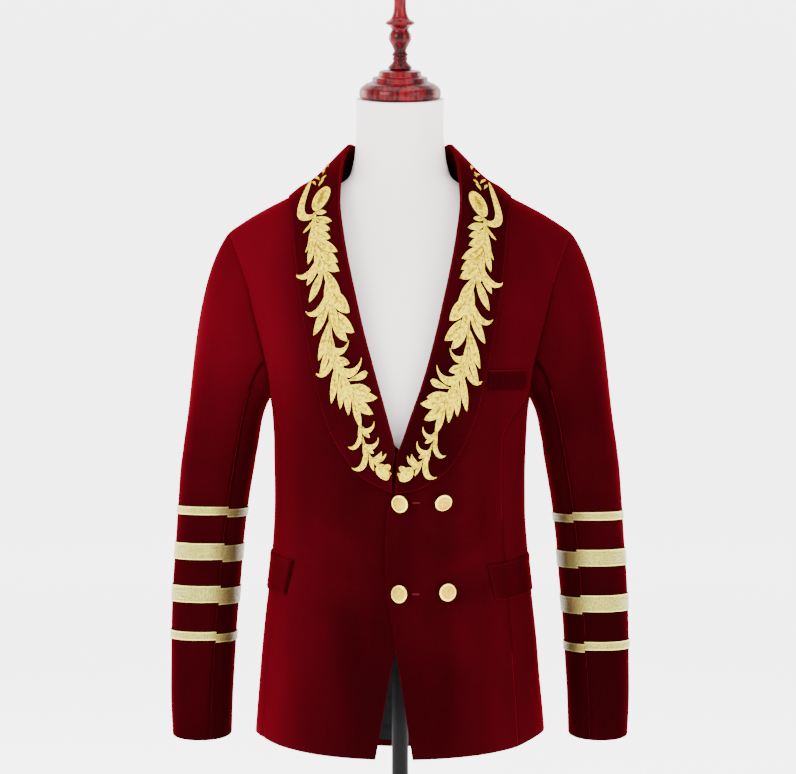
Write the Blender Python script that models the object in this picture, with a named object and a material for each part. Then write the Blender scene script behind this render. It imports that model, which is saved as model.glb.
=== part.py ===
"""Velvet tuxedo jacket on a limbless dress form, one object for each piece that is cut and sewn.

Metres, +Z up. The jacket faces -Y, and the origin is the middle of the stand's base, on the floor.
"left" and "right" are the wearer's, so a left piece lies at +X.
"""

import math

import bmesh
import bpy
import numpy as np
from mathutils import Euler, Vector, kdtree

for thing in list(bpy.data.objects):
    bpy.data.objects.remove(thing, do_unlink=True)

# Driving sizes
WALL = 0.002            # velvet with its canvas
COLLAR_WALL = 0.0025
TRIM_WALL = 0.001       # bands, flaps and the like
LEAF_WALL = 0.0012
SEAM = 0.00016          # half of the gap that two pieces leave at a seam
SHOULDER_GAP = 0.0016   # the same gap at the shoulder, as a share of the roll
LAY = 0.0007            # gap under a piece that lies on a panel
COLLAR_LAY = 0.0014
LINING_LAY = 0.0013
LINING_START = 20       # degrees round from the side to the lining's edge
LINING_RISE = (0.009, 0.014)    # how far above the hem it ends, in the middle and added at its sides
LINING_TOP = 0.452
LEAF_LAY = 0.0008
ROUND = 2.4             # exponent of the trunk's oval section
SHOULDER_Y = 0.008      # depth of the shoulder seam
FRONT_ROLL = 0.19       # height over which the front rounds off to the shoulder seam
BACK_ROLL = 0.16
SEAM_SWING = (0.640, 0.706)     # heights over which the side seams swing out to the armhole
LAP_LIFT = 0.0036       # how far the left front is raised where it laps over
LAP_TOP = (0.68, 0.74)  # heights over which the lap ends under the collar
SOFT_CLEAR = 0.0015     # rounding of the step where a laid piece leaves the trunk
ARMPIT_Z = 0.690        # lowest point of the armhole
SIDE_HEM_RISE = {1: 0.013, -1: 0.006}    # how much higher the hem is in the middle of a side panel
ARMHOLE_FOOT_Z = 0.706  # where the fronts and backs reach the armhole
SIDE_SEAM_ROWS = 11     # rows of a panel from the hem to the lowest part of the armhole
FRONT, BACK = -1, 1

# Trunk sections: height, half width, depth of the front, depth of the back
TRUNK = np.array([
    (0.200, 0.1885, 0.127, 0.130),
    (0.270, 0.1844, 0.125, 0.129),
    (0.360, 0.1773, 0.121, 0.124),
    (0.460, 0.1664, 0.115, 0.112),
    (0.560, 0.1600, 0.111, 0.101),
    (0.650, 0.1616, 0.118, 0.108),
    (0.690, 0.1660, 0.123, 0.113),
    (0.706, 0.1710, 0.124, 0.114),
    (0.763, 0.1930, 0.125, 0.117),
    (0.800, 0.2050, 0.124, 0.118),
    (0.870, 0.2280, 0.121, 0.118),
    (0.920, 0.2400, 0.118, 0.115),
    (1.000, 0.2550, 0.112, 0.110),
])
# Shoulder line: distance out, height
SHOULDER = np.array([(0.00, 0.986), (0.06, 0.984), (0.08, 0.977), (0.144, 0.9476), (0.19, 0.923),
                     (0.219, 0.904), (0.26, 0.874)])
# Armhole seam: height, distance out
ARMHOLE = np.array([(0.690, 0.1650), (0.706, 0.1655), (0.763, 0.1765), (0.800, 0.186), (0.839, 0.1955),
                    (0.871, 0.2065), (0.902, 0.219)])
# Hem: distance out, height at the front, height at the back
HEM = np.array([(-0.04, 0.246, 0.227), (0.02, 0.246, 0.227), (0.07, 0.248, 0.232), (0.115, 0.252, 0.241),
                (0.155, 0.259, 0.252), (0.185, 0.269, 0.269)])
# Opening of the lapels: height, distance out from the middle line
OPENING = np.array([(0.620, 0.000), (0.778, 0.0458), (0.825, 0.056), (0.864, 0.0648), (0.904, 0.0713),
                    (0.948, 0.075), (0.984, 0.072)])
OPENING_SHIFT = -0.005      # the foot of the opening lies this far over to the wearer's right
NECK_INSET = 0.007          # how far the fronts' edge lies under the collar
NECK_HOLE = 0.070           # radius of the neckline that the collar covers
# Front edges: height, distance of the edge to the panel's own side of the middle
LEFT_EDGE = np.array([(0.246, 0.0154), (0.376, -0.0048), (0.414, -0.0111), (0.445, -0.016), (0.54, -0.0173),
                      (0.580, -0.016), (0.605, -0.011)])
RIGHT_EDGE = np.array([(0.246, 0.0305), (0.376, 0.0066), (0.450, -0.010), (0.540, -0.030), (0.580, -0.030),
                       (0.605, -0.020)])
# Folds of the trunk: side (-1 right, 1 left), face, distance out, height, slope in degrees, length,
# width, depth
FOLDS = np.array([
    (1, FRONT, 0.085, 0.492, 28, 0.075, 0.013, 0.0030),
    (1, FRONT, 0.095, 0.455, 20, 0.060, 0.012, -0.0022),
    (1, FRONT, 0.080, 0.400, -62, 0.075, 0.020, 0.0018),
    (-1, FRONT, 0.070, 0.515, 38, 0.085, 0.016, 0.0026),
    (-1, FRONT, 0.085, 0.430, 12, 0.055, 0.014, -0.0020),
    (-1, FRONT, 0.100, 0.350, 80, 0.080, 0.022, 0.0020),
    (1, BACK, 0.085, 0.560, 25, 0.070, 0.014, 0.0028),
    (-1, BACK, 0.080, 0.545, 32, 0.065, 0.013, 0.0026),
    (1, BACK, 0.120, 0.760, 70, 0.060, 0.013, -0.0022),
    (-1, BACK, 0.118, 0.752, 66, 0.064, 0.014, -0.0024),
    (1, BACK, 0.090, 0.350, 84, 0.085, 0.022, 0.0024),
    (-1, BACK, 0.100, 0.340, 82, 0.075, 0.020, 0.0022),
], dtype=float)

# Sleeve sections: height, inner edge's and outer edge's distance out, middle's depth, half depth
SLEEVE = np.array([
    (0.266, 0.2140, 0.2888, -0.020, 0.049),
    (0.308, 0.2130, 0.2912, -0.016, 0.051),
    (0.359, 0.2105, 0.2916, -0.010, 0.054),
    (0.410, 0.2078, 0.2915, -0.004, 0.057),
    (0.461, 0.2034, 0.2898, 0.000, 0.060),
    (0.512, 0.1997, 0.2867, 0.004, 0.063),
    (0.564, 0.1933, 0.2836, 0.006, 0.066),
    (0.615, 0.1848, 0.2797, 0.008, 0.070),
    (0.655, 0.1785, 0.2740, 0.010, 0.074),
])
SLEEVE_ROUND = 2.2
CUFF_Z = 0.266
CROWN_Z = 0.655             # the sleeve's crown is lofted from here up to the armhole
CROWN_ROWS = 7
CUFF_DIP = 0.004            # the cuff hangs lower in front
ELBOW_Z = 0.59
ELBOW_CREASE = 0.0022       # depth of the creases that cross the front of the sleeve above the bands
ARM_GAP = 0.0005            # clearance of the sleeve from the armhole's edge
# Bands: height on the wearer's left and right sleeve, width. On the under sleeve they lie lower.
BANDS = np.array([(0.3775, 0.3896, 0.0120), (0.4315, 0.4430, 0.0225), (0.4900, 0.4961, 0.0220),
                  (0.5434, 0.5494, 0.0115)])
BAND_STEP = 0.003
# Where the two seams of a sleeve run, as a share of the way round from the outside over the front
FOREARM_SEAM = (0.365, 0.310)   # at the armhole, at the cuff
HINDARM_SEAM = (0.790, 0.800)

LAPEL_LIFT = 0.005          # how far the rolled edge stands off the front

BUTTON_RADIUS = 0.011
SHANK = 0.0044
BUTTON_GAP = 0.0006      # from the cloth to the lowest edge of the shank's foot
BUTTONS = ((0.0023, 0.562, -20, 9), (0.0511, 0.5647, 6, 20), (0.0018, 0.4497, -22, 0), (0.0563, 0.4521, 4, 3))

# Breast welt: distance out and height of its lower inner and upper outer corner
WELT_CORNERS = ((0.1085, 0.700), (0.157, 0.726))
# Pocket flaps: distance out and height of the front corner, degrees round the side where the flap ends
FLAPS = {1: (0.110, 0.4885, 20), -1: (0.1315, 0.4985, 38)}
FLAP_RISE = 0.016
FLAP_DEPTH = 0.045
FLAP_CORNER = 0.0015        # how far the front corner is cut up
FLAP_LIFT = 0.0012
FLAP_WALL = 0.0015
WELT_LIFT = 0.0012

# Garland: where its stem starts and ends along the middle of the lapel, and how far it sways
GARLAND_FOOT = 0.020
GARLAND_TOP = 0.352
GARLAND_SWAY = 0.004
STEM_HALF = 0.003
LEAF_COUNT = 20
LEAF_LENGTH = (0.020, 0.044)      # at the garland's ends, at its fullest
LEAF_HALF_WIDTH = (0.0040, 0.0086)

# Dress form: height, half width, depth of the front, depth of the back
FORM = np.array([
    (0.420, 0.150, 0.098, 0.098), (0.460, 0.153, 0.101, 0.098), (0.560, 0.147, 0.097, 0.087),
    (0.650, 0.149, 0.104, 0.094), (0.700, 0.153, 0.109, 0.100), (0.780, 0.158, 0.108, 0.102),
    (0.840, 0.162, 0.096, 0.096), (0.880, 0.158, 0.082, 0.088), (0.910, 0.144, 0.068, 0.078),
    (0.935, 0.121, 0.058, 0.068), (0.955, 0.0930, 0.053, 0.0610), (0.970, 0.0690, 0.053, 0.0570),
    (0.990, 0.0600, 0.054, 0.057), (1.010, 0.0570, 0.054, 0.055), (1.074, 0.0560, 0.054, 0.054),
])
NECK_TOP_Z = 1.074
# Turned profiles, radius and height
NECK_CAP = ((0.0500, 0.0), (0.0522, 0.003), (0.0524, 0.009), (0.0505, 0.014), (0.0440, 0.019),
            (0.0355, 0.022), (0.0355, 0.027), (0.0275, 0.029), (0.0270, 0.035), (0.0180, 0.037))
FINIAL = ((0.0150, 0.0), (0.0156, 0.003), (0.0100, 0.008), (0.0085, 0.011), (0.0100, 0.0135),
          (0.0085, 0.0160), (0.0110, 0.0188), (0.0082, 0.0215), (0.0080, 0.025), (0.0110, 0.031),
          (0.0148, 0.038), (0.0140, 0.044), (0.0105, 0.050), (0.0120, 0.054), (0.0190, 0.0575),
          (0.0185, 0.0600), (0.0110, 0.064), (0.0080, 0.075), (0.0078, 0.092), (0.0100, 0.096),
          (0.0100, 0.104), (0.0060, 0.110))
CAP_TILT = math.radians(12)
POLE_RADIUS = 0.0105
BASE_RADIUS = 0.17
BASE_HEIGHT = 0.022


def smooth(table, at, column=1):
    """Reads a column of a table along a smooth curve through its rows, straight on past its ends."""
    known, value = table[:, 0], table[:, column]
    slope = np.gradient(value, known)
    at = np.asarray(at, float)
    low = np.clip(np.searchsorted(known, at) - 1, 0, len(known) - 2)
    span = known[low + 1] - known[low]
    t = np.clip((at - known[low]) / span, 0, 1)
    return ((2 * t**3 - 3 * t**2 + 1) * value[low] + (t**3 - 2 * t**2 + t) * span * slope[low]
            + (3 * t**2 - 2 * t**3) * value[low + 1] + (t**3 - t**2) * span * slope[low + 1])


def unit(vectors):
    return vectors / np.maximum(np.linalg.norm(vectors, axis=-1, keepdims=True), 1e-12)


def ramp(value, low, high):
    t = np.clip((value - low) / (high - low), 0, 1)
    return t * t * (3 - 2 * t)


# The trunk's surface

def trunk_depth(out, z, face):
    """How far the oval section reaches to the front or back at a distance out from the middle."""
    width = smooth(TRUNK, z, 1)
    depth = smooth(TRUNK, z, 2 if face == FRONT else 3)
    return depth * np.maximum(1 - np.clip(np.abs(out) / width, 0, 1) ** ROUND, 0) ** (1 / ROUND)


def fold_height(out, z, side, face):
    """Soft ridges and troughs, each a long bell-shaped bump along its own slope."""
    total = np.zeros(np.broadcast(out, z).shape)
    for own, own_face, fold_out, fold_z, slope, length, width, depth in FOLDS:
        if own != side or own_face != face:
            continue
        turn = math.radians(slope)
        run = (out - fold_out) * math.cos(turn) + (z - fold_z) * math.sin(turn)
        off = (z - fold_z) * math.cos(turn) - (out - fold_out) * math.sin(turn)
        total = total + depth * np.exp(-(run / length) ** 2 * 2 - (off / width) ** 2)
    return total * (1 - ramp(np.abs(out) / smooth(TRUNK, z, 1), 0.62, 0.80))


def trunk_point(out, level, side, face):
    """A point of the trunk. The level runs 0 to 1 from the hem to the roll, and 1 to 2 over the roll."""
    out = np.asarray(out, float)
    roll = FRONT_ROLL if face == FRONT else BACK_ROLL
    top = smooth(SHOULDER, np.abs(out))
    hem = smooth(HEM, out, 1 if face == FRONT else 2)
    turn = np.clip(level - 1, 0, 1) * math.pi / 2
    z = np.where(level < 1, hem + level * (top - roll - hem), top - roll * (1 - np.sin(turn)))
    reach = trunk_depth(out, z, face) + fold_height(out, z, side, face)
    y = SHOULDER_Y + (face * reach - SHOULDER_Y) * np.cos(turn)
    return np.stack([side * out, np.broadcast_to(y, out.shape), z], axis=-1)


def edge_at(level, side, face, distance_at):
    """The distance out where a level meets an edge that is given as a distance for each height."""
    level = np.asarray(level, float)
    out = np.full(level.shape, 0.1)
    for _ in range(30):
        out = 0.5 * out + 0.5 * distance_at(trunk_point(out, level, side, face)[..., 2])
    return out


def armhole_out(z):
    return smooth(ARMHOLE, np.clip(z, ARMHOLE[0, 0], ARMHOLE[-1, 0]))


def opening_out(z, side):
    shift = OPENING_SHIFT * side * ramp(-z, -0.80, -0.62)
    return smooth(OPENING, z) + shift


def side_seam_out(z, share):
    """The seam to the side panel keeps a share of the half width, then swings up to the armhole."""
    plain = share * smooth(TRUNK, z, 1)
    meet = armhole_out(z)
    return plain + (meet - plain) * ramp(z, *SEAM_SWING)


SEAM_SHARE = {(1, FRONT): 0.80, (-1, FRONT): 0.935, (1, BACK): 0.86, (-1, BACK): 0.86}


def outer_edge(z, side, face):
    return np.where(z < ARMHOLE_FOOT_Z, side_seam_out(z, SEAM_SHARE[side, face]), armhole_out(z))


def front_edge(z, side):
    """The edge of a front: down the opening under the collar, then the edge that laps over or under."""
    table = LEFT_EDGE if side == 1 else RIGHT_EDGE
    closed = smooth(table, np.minimum(z, table[-1, 0]))
    opened = opening_out(z, side) + NECK_INSET
    return closed + (opened - closed) * ramp(z, 0.600, 0.648)


def front_lift(out, z, side):
    """The left front is raised where it laps over the right one."""
    under = -smooth(RIGHT_EDGE, np.clip(z, RIGHT_EDGE[0, 0], RIGHT_EDGE[-1, 0]))
    fall = 1 - ramp(out, under + 0.012, under + 0.055)
    return (side == 1) * LAP_LIFT * fall * (1 - ramp(z, *LAP_TOP))


def panel_levels(side, face):
    """Rows of a front or back: up the side seam to the armhole, to the roll, and over it."""
    hem_z = smooth(HEM, np.array([0.16]), 1 if face == FRONT else 2)[0]
    out = float(armhole_out(np.array([ARMHOLE_FOOT_Z]))[0])
    top = float(smooth(SHOULDER, np.array([out]))[0]) - (FRONT_ROLL if face == FRONT else BACK_ROLL)
    meet = (ARMHOLE_FOOT_Z - hem_z) / (top - hem_z)
    upper = np.linspace(1, 2, 9)
    middle = [0.5 * (meet + 1)] if 1 - meet > 0.08 else []
    return np.concatenate([np.linspace(0, meet, SIDE_SEAM_ROWS), middle, upper])


def front_point(u, level, side):
    inner = edge_at(level, side, FRONT, lambda z: front_edge(z, side))
    outer = edge_at(level, side, FRONT, lambda z: outer_edge(z, side, FRONT))
    out = inner + (outer - inner) * u
    point = trunk_point(out, level, side, FRONT)
    point[..., 1] -= front_lift(out, point[..., 2], side)
    return point


def back_point(u, level, side):
    out = edge_at(level, side, BACK, lambda z: outer_edge(z, side, BACK)) * u
    neck_y = np.sqrt(np.maximum(NECK_HOLE**2 - out**2, 0))
    reach = smooth(TRUNK, 0.97, 3) - SHOULDER_Y
    top = np.arccos(np.clip((neck_y - SHOULDER_Y) / reach, 0, 1)) / (math.pi / 2)
    level = np.where(level > 1, 1 + (level - 1) * top, level)
    return trunk_point(out, level, side, BACK)


def ring_point(angle, z, side, lift=0.0):
    """A point of the trunk's oval section, turned from the front (-90 degrees) round the side to the back."""
    width = smooth(TRUNK, z, 1) + lift
    depth = np.where(angle < 0, smooth(TRUNK, z, 2), smooth(TRUNK, z, 3)) + lift
    cos, sin = np.cos(angle), np.sin(angle)
    x = width * np.abs(cos) ** (2 / ROUND)
    y = depth * np.sign(sin) * np.abs(sin) ** (2 / ROUND)
    return np.stack([side * x, y, np.broadcast_to(z, np.shape(x))], axis=-1)


def ring_angle(out, z, face):
    share = np.clip(np.abs(out) / smooth(TRUNK, z, 1), 0, 1)
    return face * np.arccos(share ** (ROUND / 2))


def side_point(u, level, side):
    """The side panel fills in between the front's and the back's seams, and its top dips at the armpit."""
    ends = []
    for face, own in ((FRONT, level), (BACK, level * BACK_MEET / FRONT_MEET)):
        out = edge_at(own, side, face, lambda z, face=face: outer_edge(z, side, face))
        ends.append((out, trunk_point(out, own, side, face)[..., 2]))
    (front_out, front_z), (back_out, back_z) = ends
    start = ring_angle(front_out, front_z, FRONT)
    end = ring_angle(back_out, back_z, BACK)
    angle = start + (end - start) * u
    z = front_z + (back_z - front_z) * u
    dip = (ARMHOLE_FOOT_Z - ARMPIT_Z) * 4 * u * (1 - u) * ramp(level, 0.75 * FRONT_MEET, FRONT_MEET)
    rise = SIDE_HEM_RISE[side] * 4 * u * (1 - u) * (1 - ramp(level, 0, 0.5 * FRONT_MEET))
    return ring_point(angle, z - dip + rise, side)


FRONT_MEET = panel_levels(1, FRONT)[SIDE_SEAM_ROWS - 1]
BACK_MEET = panel_levels(1, BACK)[SIDE_SEAM_ROWS - 1]


# Walls

def normals_of(surface, us, vs, outward):
    """Unit normals of a surface of two parameters, from small steps that stay within its edges."""
    step_u = 0.002 * (us[-1, 0] - us[0, 0]) if us.ndim == 2 else 0.002
    step_v = 0.002 * (vs[0, -1] - vs[0, 0])
    low_u, high_u = np.maximum(us - step_u, us.min()), np.minimum(us + step_u, us.max())
    low_v, high_v = np.maximum(vs - step_v, vs.min()), np.minimum(vs + step_v, vs.max())
    across = surface(high_u, vs) - surface(low_u, vs)
    up = surface(us, high_v) - surface(us, low_v)
    normal = unit(np.cross(across, up))
    return normal * np.sign((normal * outward).sum(-1).sum())


def wall_mesh(name, outer, inner, colour, roughness=0.8, metallic=0.0):
    """A closed wall between two grids of points, with a rim along its four edges."""
    rows, columns = outer.shape[:2]
    index = np.arange(rows * columns).reshape(rows, columns)
    below = index + rows * columns
    a, b, c, d = index[:-1, :-1], index[1:, :-1], index[1:, 1:], index[:-1, 1:]
    faces = [np.stack([a, b, c, d], -1).reshape(-1, 4)]
    faces.append(np.stack([d, c, b, a], -1).reshape(-1, 4) + rows * columns)
    ring = np.concatenate([index[0, :], index[1:, -1], index[-1, -2::-1], index[-2:0:-1, 0]])
    after = np.roll(ring, -1)
    faces.append(np.stack([ring, after, after + rows * columns, ring + rows * columns], -1))
    points = np.concatenate([outer.reshape(-1, 3), inner.reshape(-1, 3)])
    return add_mesh(name, points, np.concatenate(faces), colour, roughness, metallic)


def add_mesh(name, points, faces, colour, roughness=0.8, metallic=0.0):
    mesh = bpy.data.meshes.new(name)
    mesh.from_pydata([tuple(p) for p in points], [], [tuple(int(i) for i in f) for f in faces])
    shape = bmesh.new()
    shape.from_mesh(mesh)
    bmesh.ops.recalc_face_normals(shape, faces=shape.faces)
    shape.to_mesh(mesh)
    shape.free()
    mesh.shade_smooth()
    mesh.set_sharp_from_angle(angle=math.radians(40))
    thing = bpy.data.objects.new(name, mesh)
    bpy.context.scene.collection.objects.link(thing)
    thing.data.materials.append(finish(name, colour, roughness, metallic))
    return thing


def finish(name, colour, roughness, metallic):
    material = bpy.data.materials.new(name)
    material.use_nodes = True
    shader = material.node_tree.nodes["Principled BSDF"]
    shader.inputs["Base Color"].default_value = (*colour, 1)
    shader.inputs["Roughness"].default_value = roughness
    shader.inputs["Metallic"].default_value = metallic
    return material


def wall(name, surface, us, vs, outward, colour, thickness=WALL, lift=0.0, roughness=0.8, metallic=0.0):
    """A wall whose outer face is a surface of two parameters, moved out by a lift."""
    u, v = np.meshgrid(us, vs, indexing="ij")
    points = surface(u, v)
    normal = normals_of(surface, u, v, np.asarray(outward(points)))
    outer = points + normal * lift
    return wall_mesh(name, outer, outer - normal * thickness, colour, roughness, metallic)


def from_axis(points):
    """Directions straight out from the stand's axis."""
    return unit(points * (1, 1, 0) + (0, 0, 1e-9))


def inset(count, length):
    """Even shares 0 to 1, drawn in at both ends by the seam's half gap."""
    gap = SEAM / length
    return gap + (1 - 2 * gap) * np.linspace(0, 1, count)


# Colours of the finishes
VELVET = (0.16, 0.004, 0.012)
VELVET_DARK = (0.11, 0.003, 0.009)
GOLD_THREAD = (0.88, 0.80, 0.38)
BRAID = (0.55, 0.46, 0.20)
BUTTON_GOLD = (0.86, 0.74, 0.40)
LINING = (0.012, 0.018, 0.022)
LINEN = (0.86, 0.83, 0.79)
MAHOGANY = (0.22, 0.012, 0.018)
BLACK = (0.015, 0.015, 0.017)

LEFT, RIGHT = 1, -1
SIDE_NAME = {LEFT: "left", RIGHT: "right"}


# Fronts, sides, back and lining

def front_panel(side):
    levels = panel_levels(side, FRONT)
    wall("front_" + SIDE_NAME[side], lambda u, v: front_point(u, v, side), inset(9, 0.17),
         levels_inset(levels),
         from_axis, VELVET)


def levels_inset(levels):
    """Drawn in by the seam's half gap at the shoulder only: the hem is free."""
    levels = levels.copy()
    levels[-1] -= SHOULDER_GAP
    return levels


def back_panel(side):
    columns = inset(9, 0.16) ** 1.15
    wall("back_" + SIDE_NAME[side], lambda u, v: back_point(u, v, side), columns,
         levels_inset(panel_levels(side, BACK)), from_axis, VELVET)


def side_panel(side):
    levels = panel_levels(side, FRONT)[:SIDE_SEAM_ROWS]
    wall("side_" + SIDE_NAME[side], lambda u, v: side_point(u, v, side), inset(6, 0.09), levels,
         from_axis, VELVET)


def back_lining():
    """The lining hangs just inside the back from side to side, and ends above the hem."""
    def surface(u, v):
        angle = np.radians(LINING_START + (180 - 2 * LINING_START) * u)
        turn = np.where(angle < math.pi / 2, angle, math.pi - angle)
        out = ring_point(turn, HEM[-1, 2] + 0 * v, LEFT)[..., 0]
        foot = smooth(HEM, out, 2) + LINING_RISE[0] + LINING_RISE[1] * ramp(out, 0.10, 0.145)
        z = foot + (LINING_TOP - foot) * v
        half = ring_point(turn, z, LEFT)
        half[..., 0] = np.where(angle < math.pi / 2, half[..., 0], -half[..., 0])
        return half
    wall("lining_back", surface, np.linspace(0, 1, 13), np.linspace(0, 1, 4), from_axis, LINING,
         thickness=TRIM_WALL, lift=-(WALL + LINING_LAY), roughness=0.4)


# Sleeves

def armhole_loop(side):
    """The armhole's edge as the panels have it, from the shoulder down the front and up the back."""
    front = front_point(np.float64(1), panel_levels(side, FRONT)[SIDE_SEAM_ROWS - 1:], side)
    back = back_point(np.float64(1), panel_levels(side, BACK)[SIDE_SEAM_ROWS - 1:], side)
    under = side_point(np.linspace(0, 1, 6), FRONT_MEET * np.ones(6), side)
    loop = np.concatenate([front[::-1], under[1:-1], back])
    steps = np.linalg.norm(np.diff(loop, axis=0), axis=1)
    return np.concatenate([[0], np.cumsum(steps)]) / steps.sum(), loop


LOOPS = {side: armhole_loop(side) for side in (LEFT, RIGHT)}


def sleeve_ring(share, z, side):
    """An oval section of the sleeve: share 0 is the outside, 0.25 the front, 0.5 the inside."""
    inner, outer = smooth(SLEEVE, z, 1), smooth(SLEEVE, z, 2)
    angle = 2 * math.pi * share
    cos, sin = np.cos(angle), np.sin(angle)
    out = (inner + outer) / 2 + (outer - inner) / 2 * np.sign(cos) * np.abs(cos) ** (2 / SLEEVE_ROUND)
    y = smooth(SLEEVE, z, 3) - smooth(SLEEVE, z, 4) * np.sign(sin) * np.abs(sin) ** (2 / SLEEVE_ROUND)
    dip = CUFF_DIP * sin * ramp(-z, -0.33, -CUFF_Z)
    bend = np.cos(2 * math.pi * (z - ELBOW_Z) / 0.052) * np.exp(-((z - ELBOW_Z) / 0.06) ** 2)
    y = y - ELBOW_CREASE * bend * np.exp(-((share - 0.16) / 0.085) ** 2)
    return np.stack([side * out, y, z - dip], axis=-1)


def sleeve_point(share, station, side):
    """A point of the sleeve. The station runs 0 to 1 down the crown, and 1 to 2 from there to the cuff."""
    shares, loop = LOOPS[side]
    around = np.mod(share, 1)
    start = np.stack([np.interp(around, shares, loop[:, c]) for c in range(3)], axis=-1)
    end = sleeve_ring(around, np.full(around.shape, CROWN_Z), side)
    down = unit(sleeve_ring(around, np.full(around.shape, CROWN_Z - 0.03), side) - end)
    angle = 2 * math.pi * around
    flat = np.ones_like(angle)
    leave = np.stack([side * 0.55 * flat, -0.22 * np.sin(angle), -0.72 * flat], -1)
    start = start + unit(leave) * ARM_GAP
    length = 0.85 * np.linalg.norm(end - start, axis=-1, keepdims=True)
    t = np.clip(station, 0, 1)[..., None]
    crown = ((2 * t**3 - 3 * t**2 + 1) * start + (t**3 - 2 * t**2 + t) * length * unit(leave)
             + (3 * t**2 - 2 * t**3) * end + (t**3 - t**2) * length * down)
    z = CROWN_Z - np.clip(station - 1, 0, 1) * (CROWN_Z - CUFF_Z)
    return np.where(station[..., None] <= 1, crown, sleeve_ring(around, z, side))


def seam_shares(part, station):
    """The two seams that bound the top sleeve or the under sleeve, at a station."""
    fore = FOREARM_SEAM[0] + (FOREARM_SEAM[1] - FOREARM_SEAM[0]) * station / 2
    hind = HINDARM_SEAM[0] + (HINDARM_SEAM[1] - HINDARM_SEAM[0]) * station / 2
    return (hind - 1, fore) if part == "top" else (fore, hind)


def sleeve_part_point(u, station, part, side):
    low, high = seam_shares(part, station)
    return sleeve_point(low + (high - low) * u, station, side)


def sleeve_columns(part, side):
    """Shares across a sleeve part that meet the corners of the armhole's edge."""
    low, high = seam_shares(part, 0.0)
    shares = LOOPS[side][0]
    shares = np.concatenate([shares - 1, shares])
    within = shares[(shares > low + 0.012) & (shares < high - 0.012)]
    kept = [low]
    for share in within:
        if share - kept[-1] > 0.030:
            kept.append(share)
    kept = (np.array(kept + [high]) - low) / (high - low)
    gap = SEAM / 0.13
    return gap + (1 - 2 * gap) * kept


def band_edges(side, part):
    """Stations of the bands' lower and upper edges."""
    height = BANDS[:, 0 if side == LEFT else 1] - (BAND_STEP if part == "under" else 0)
    edges = np.stack([height - BANDS[:, 2] / 2, height + BANDS[:, 2] / 2], axis=-1)
    return 1 + (CROWN_Z - edges) / (CROWN_Z - CUFF_Z)


def sleeve_stations(side, part):
    crown = np.linspace(0, 1, CROWN_ROWS)
    between = 1 + (CROWN_Z - np.array([0.612, 0.584, 0.520, 0.320])) / (CROWN_Z - CUFF_Z)
    return np.sort(np.concatenate([crown, between, band_edges(side, part).ravel(), [2.0]]))


def sleeve_axis(side):
    def outward(points):
        z = np.clip(points[..., 2], CUFF_Z, CROWN_Z)
        middle = (smooth(SLEEVE, z, 1) + smooth(SLEEVE, z, 2)) / 2
        away = points - np.stack([side * middle, smooth(SLEEVE, z, 3), points[..., 2]], axis=-1)
        return unit(away)
    return outward


def sleeves(side):
    for part in ("top", "under"):
        def surface(u, v, part=part):
            return sleeve_part_point(u, v, part, side)
        columns = sleeve_columns(part, side)
        wall(part + "sleeve_" + SIDE_NAME[side], surface, columns, sleeve_stations(side, part),
             sleeve_axis(side), VELVET)
        for number, (low, high) in enumerate(band_edges(side, part), 1):
            wall(f"band_{part}_{SIDE_NAME[side]}_{number}", surface, columns, np.array([high, low]),
                 sleeve_axis(side), BRAID, thickness=TRIM_WALL, lift=LAY + TRIM_WALL, roughness=0.4,
                 metallic=0.6)


# Collar

# Lapel stations: roll line's distance out and height, outer edge's distance out and height
LAPEL = np.array([
    (0.0060, 0.626, 0.0215, 0.582), (0.0080, 0.638, 0.048, 0.594), (0.0160, 0.668, 0.071, 0.622),
    (0.0290, 0.715, 0.090, 0.660), (0.0440, 0.771, 0.1060, 0.720), (0.0550, 0.820, 0.1170, 0.778),
    (0.0635, 0.860, 0.1250, 0.830), (0.0705, 0.900, 0.1310, 0.878), (0.0750, 0.940, 0.1355, 0.920),
])
LEFT_FOOT = np.array([(-0.0045, 0.6215, -0.007, 0.5735), (0.0015, 0.636, 0.026, 0.580),
                      (0.0125, 0.668, 0.064, 0.609)])
# Collar stations: roll line's distance out, depth and height, outer edge's distance out and height
NECK = np.array([
    (0.0735, -0.040, 0.984, 0.1395, 0.9460), (0.0680, -0.010, 1.011, 0.1330, 0.9340),
    (0.0640, 0.022, 1.019, 0.1130, 0.9260), (0.0545, 0.053, 1.018, 0.0860, 0.9220),
    (0.0320, 0.077, 1.016, 0.0460, 0.9220), (0.0, 0.084, 1.015, 0.0, 0.9230),
])


def trunk_y(out, z, face, fold=0.0):
    """Depth of the trunk at a distance out and height, over the shoulder's rounding too."""
    roll = FRONT_ROLL if face == FRONT else BACK_ROLL
    rise = np.clip(1 - (smooth(SHOULDER, np.abs(out)) - z) / roll, 0, 1)
    return SHOULDER_Y + (face * (trunk_depth(out, z, face) + fold) - SHOULDER_Y) * np.sqrt(1 - rise**2)


def trunk_tree(side):
    """Points and normals of the trunk close together, to find what lies under a piece."""
    tree_points, tree_normals = [], []
    for face in (FRONT, BACK):
        def surface(u, v, face=face):
            return trunk_point(-0.03 + 0.235 * u, v, side, face)
        u, v = np.meshgrid(np.linspace(0, 1, 70), np.linspace(0.55, 2, 150), indexing="ij")
        points = surface(u, v)
        tree_points.append(points.reshape(-1, 3))
        tree_normals.append(normals_of(surface, u, v, from_axis(points)).reshape(-1, 3))
    points, normals = np.concatenate(tree_points), np.concatenate(tree_normals)
    tree = kdtree.KDTree(len(points))
    for number, point in enumerate(points):
        tree.insert(Vector(point), number)
    tree.balance()
    return tree, points, normals


TREES = {side: trunk_tree(side) for side in (LEFT, RIGHT)}


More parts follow.
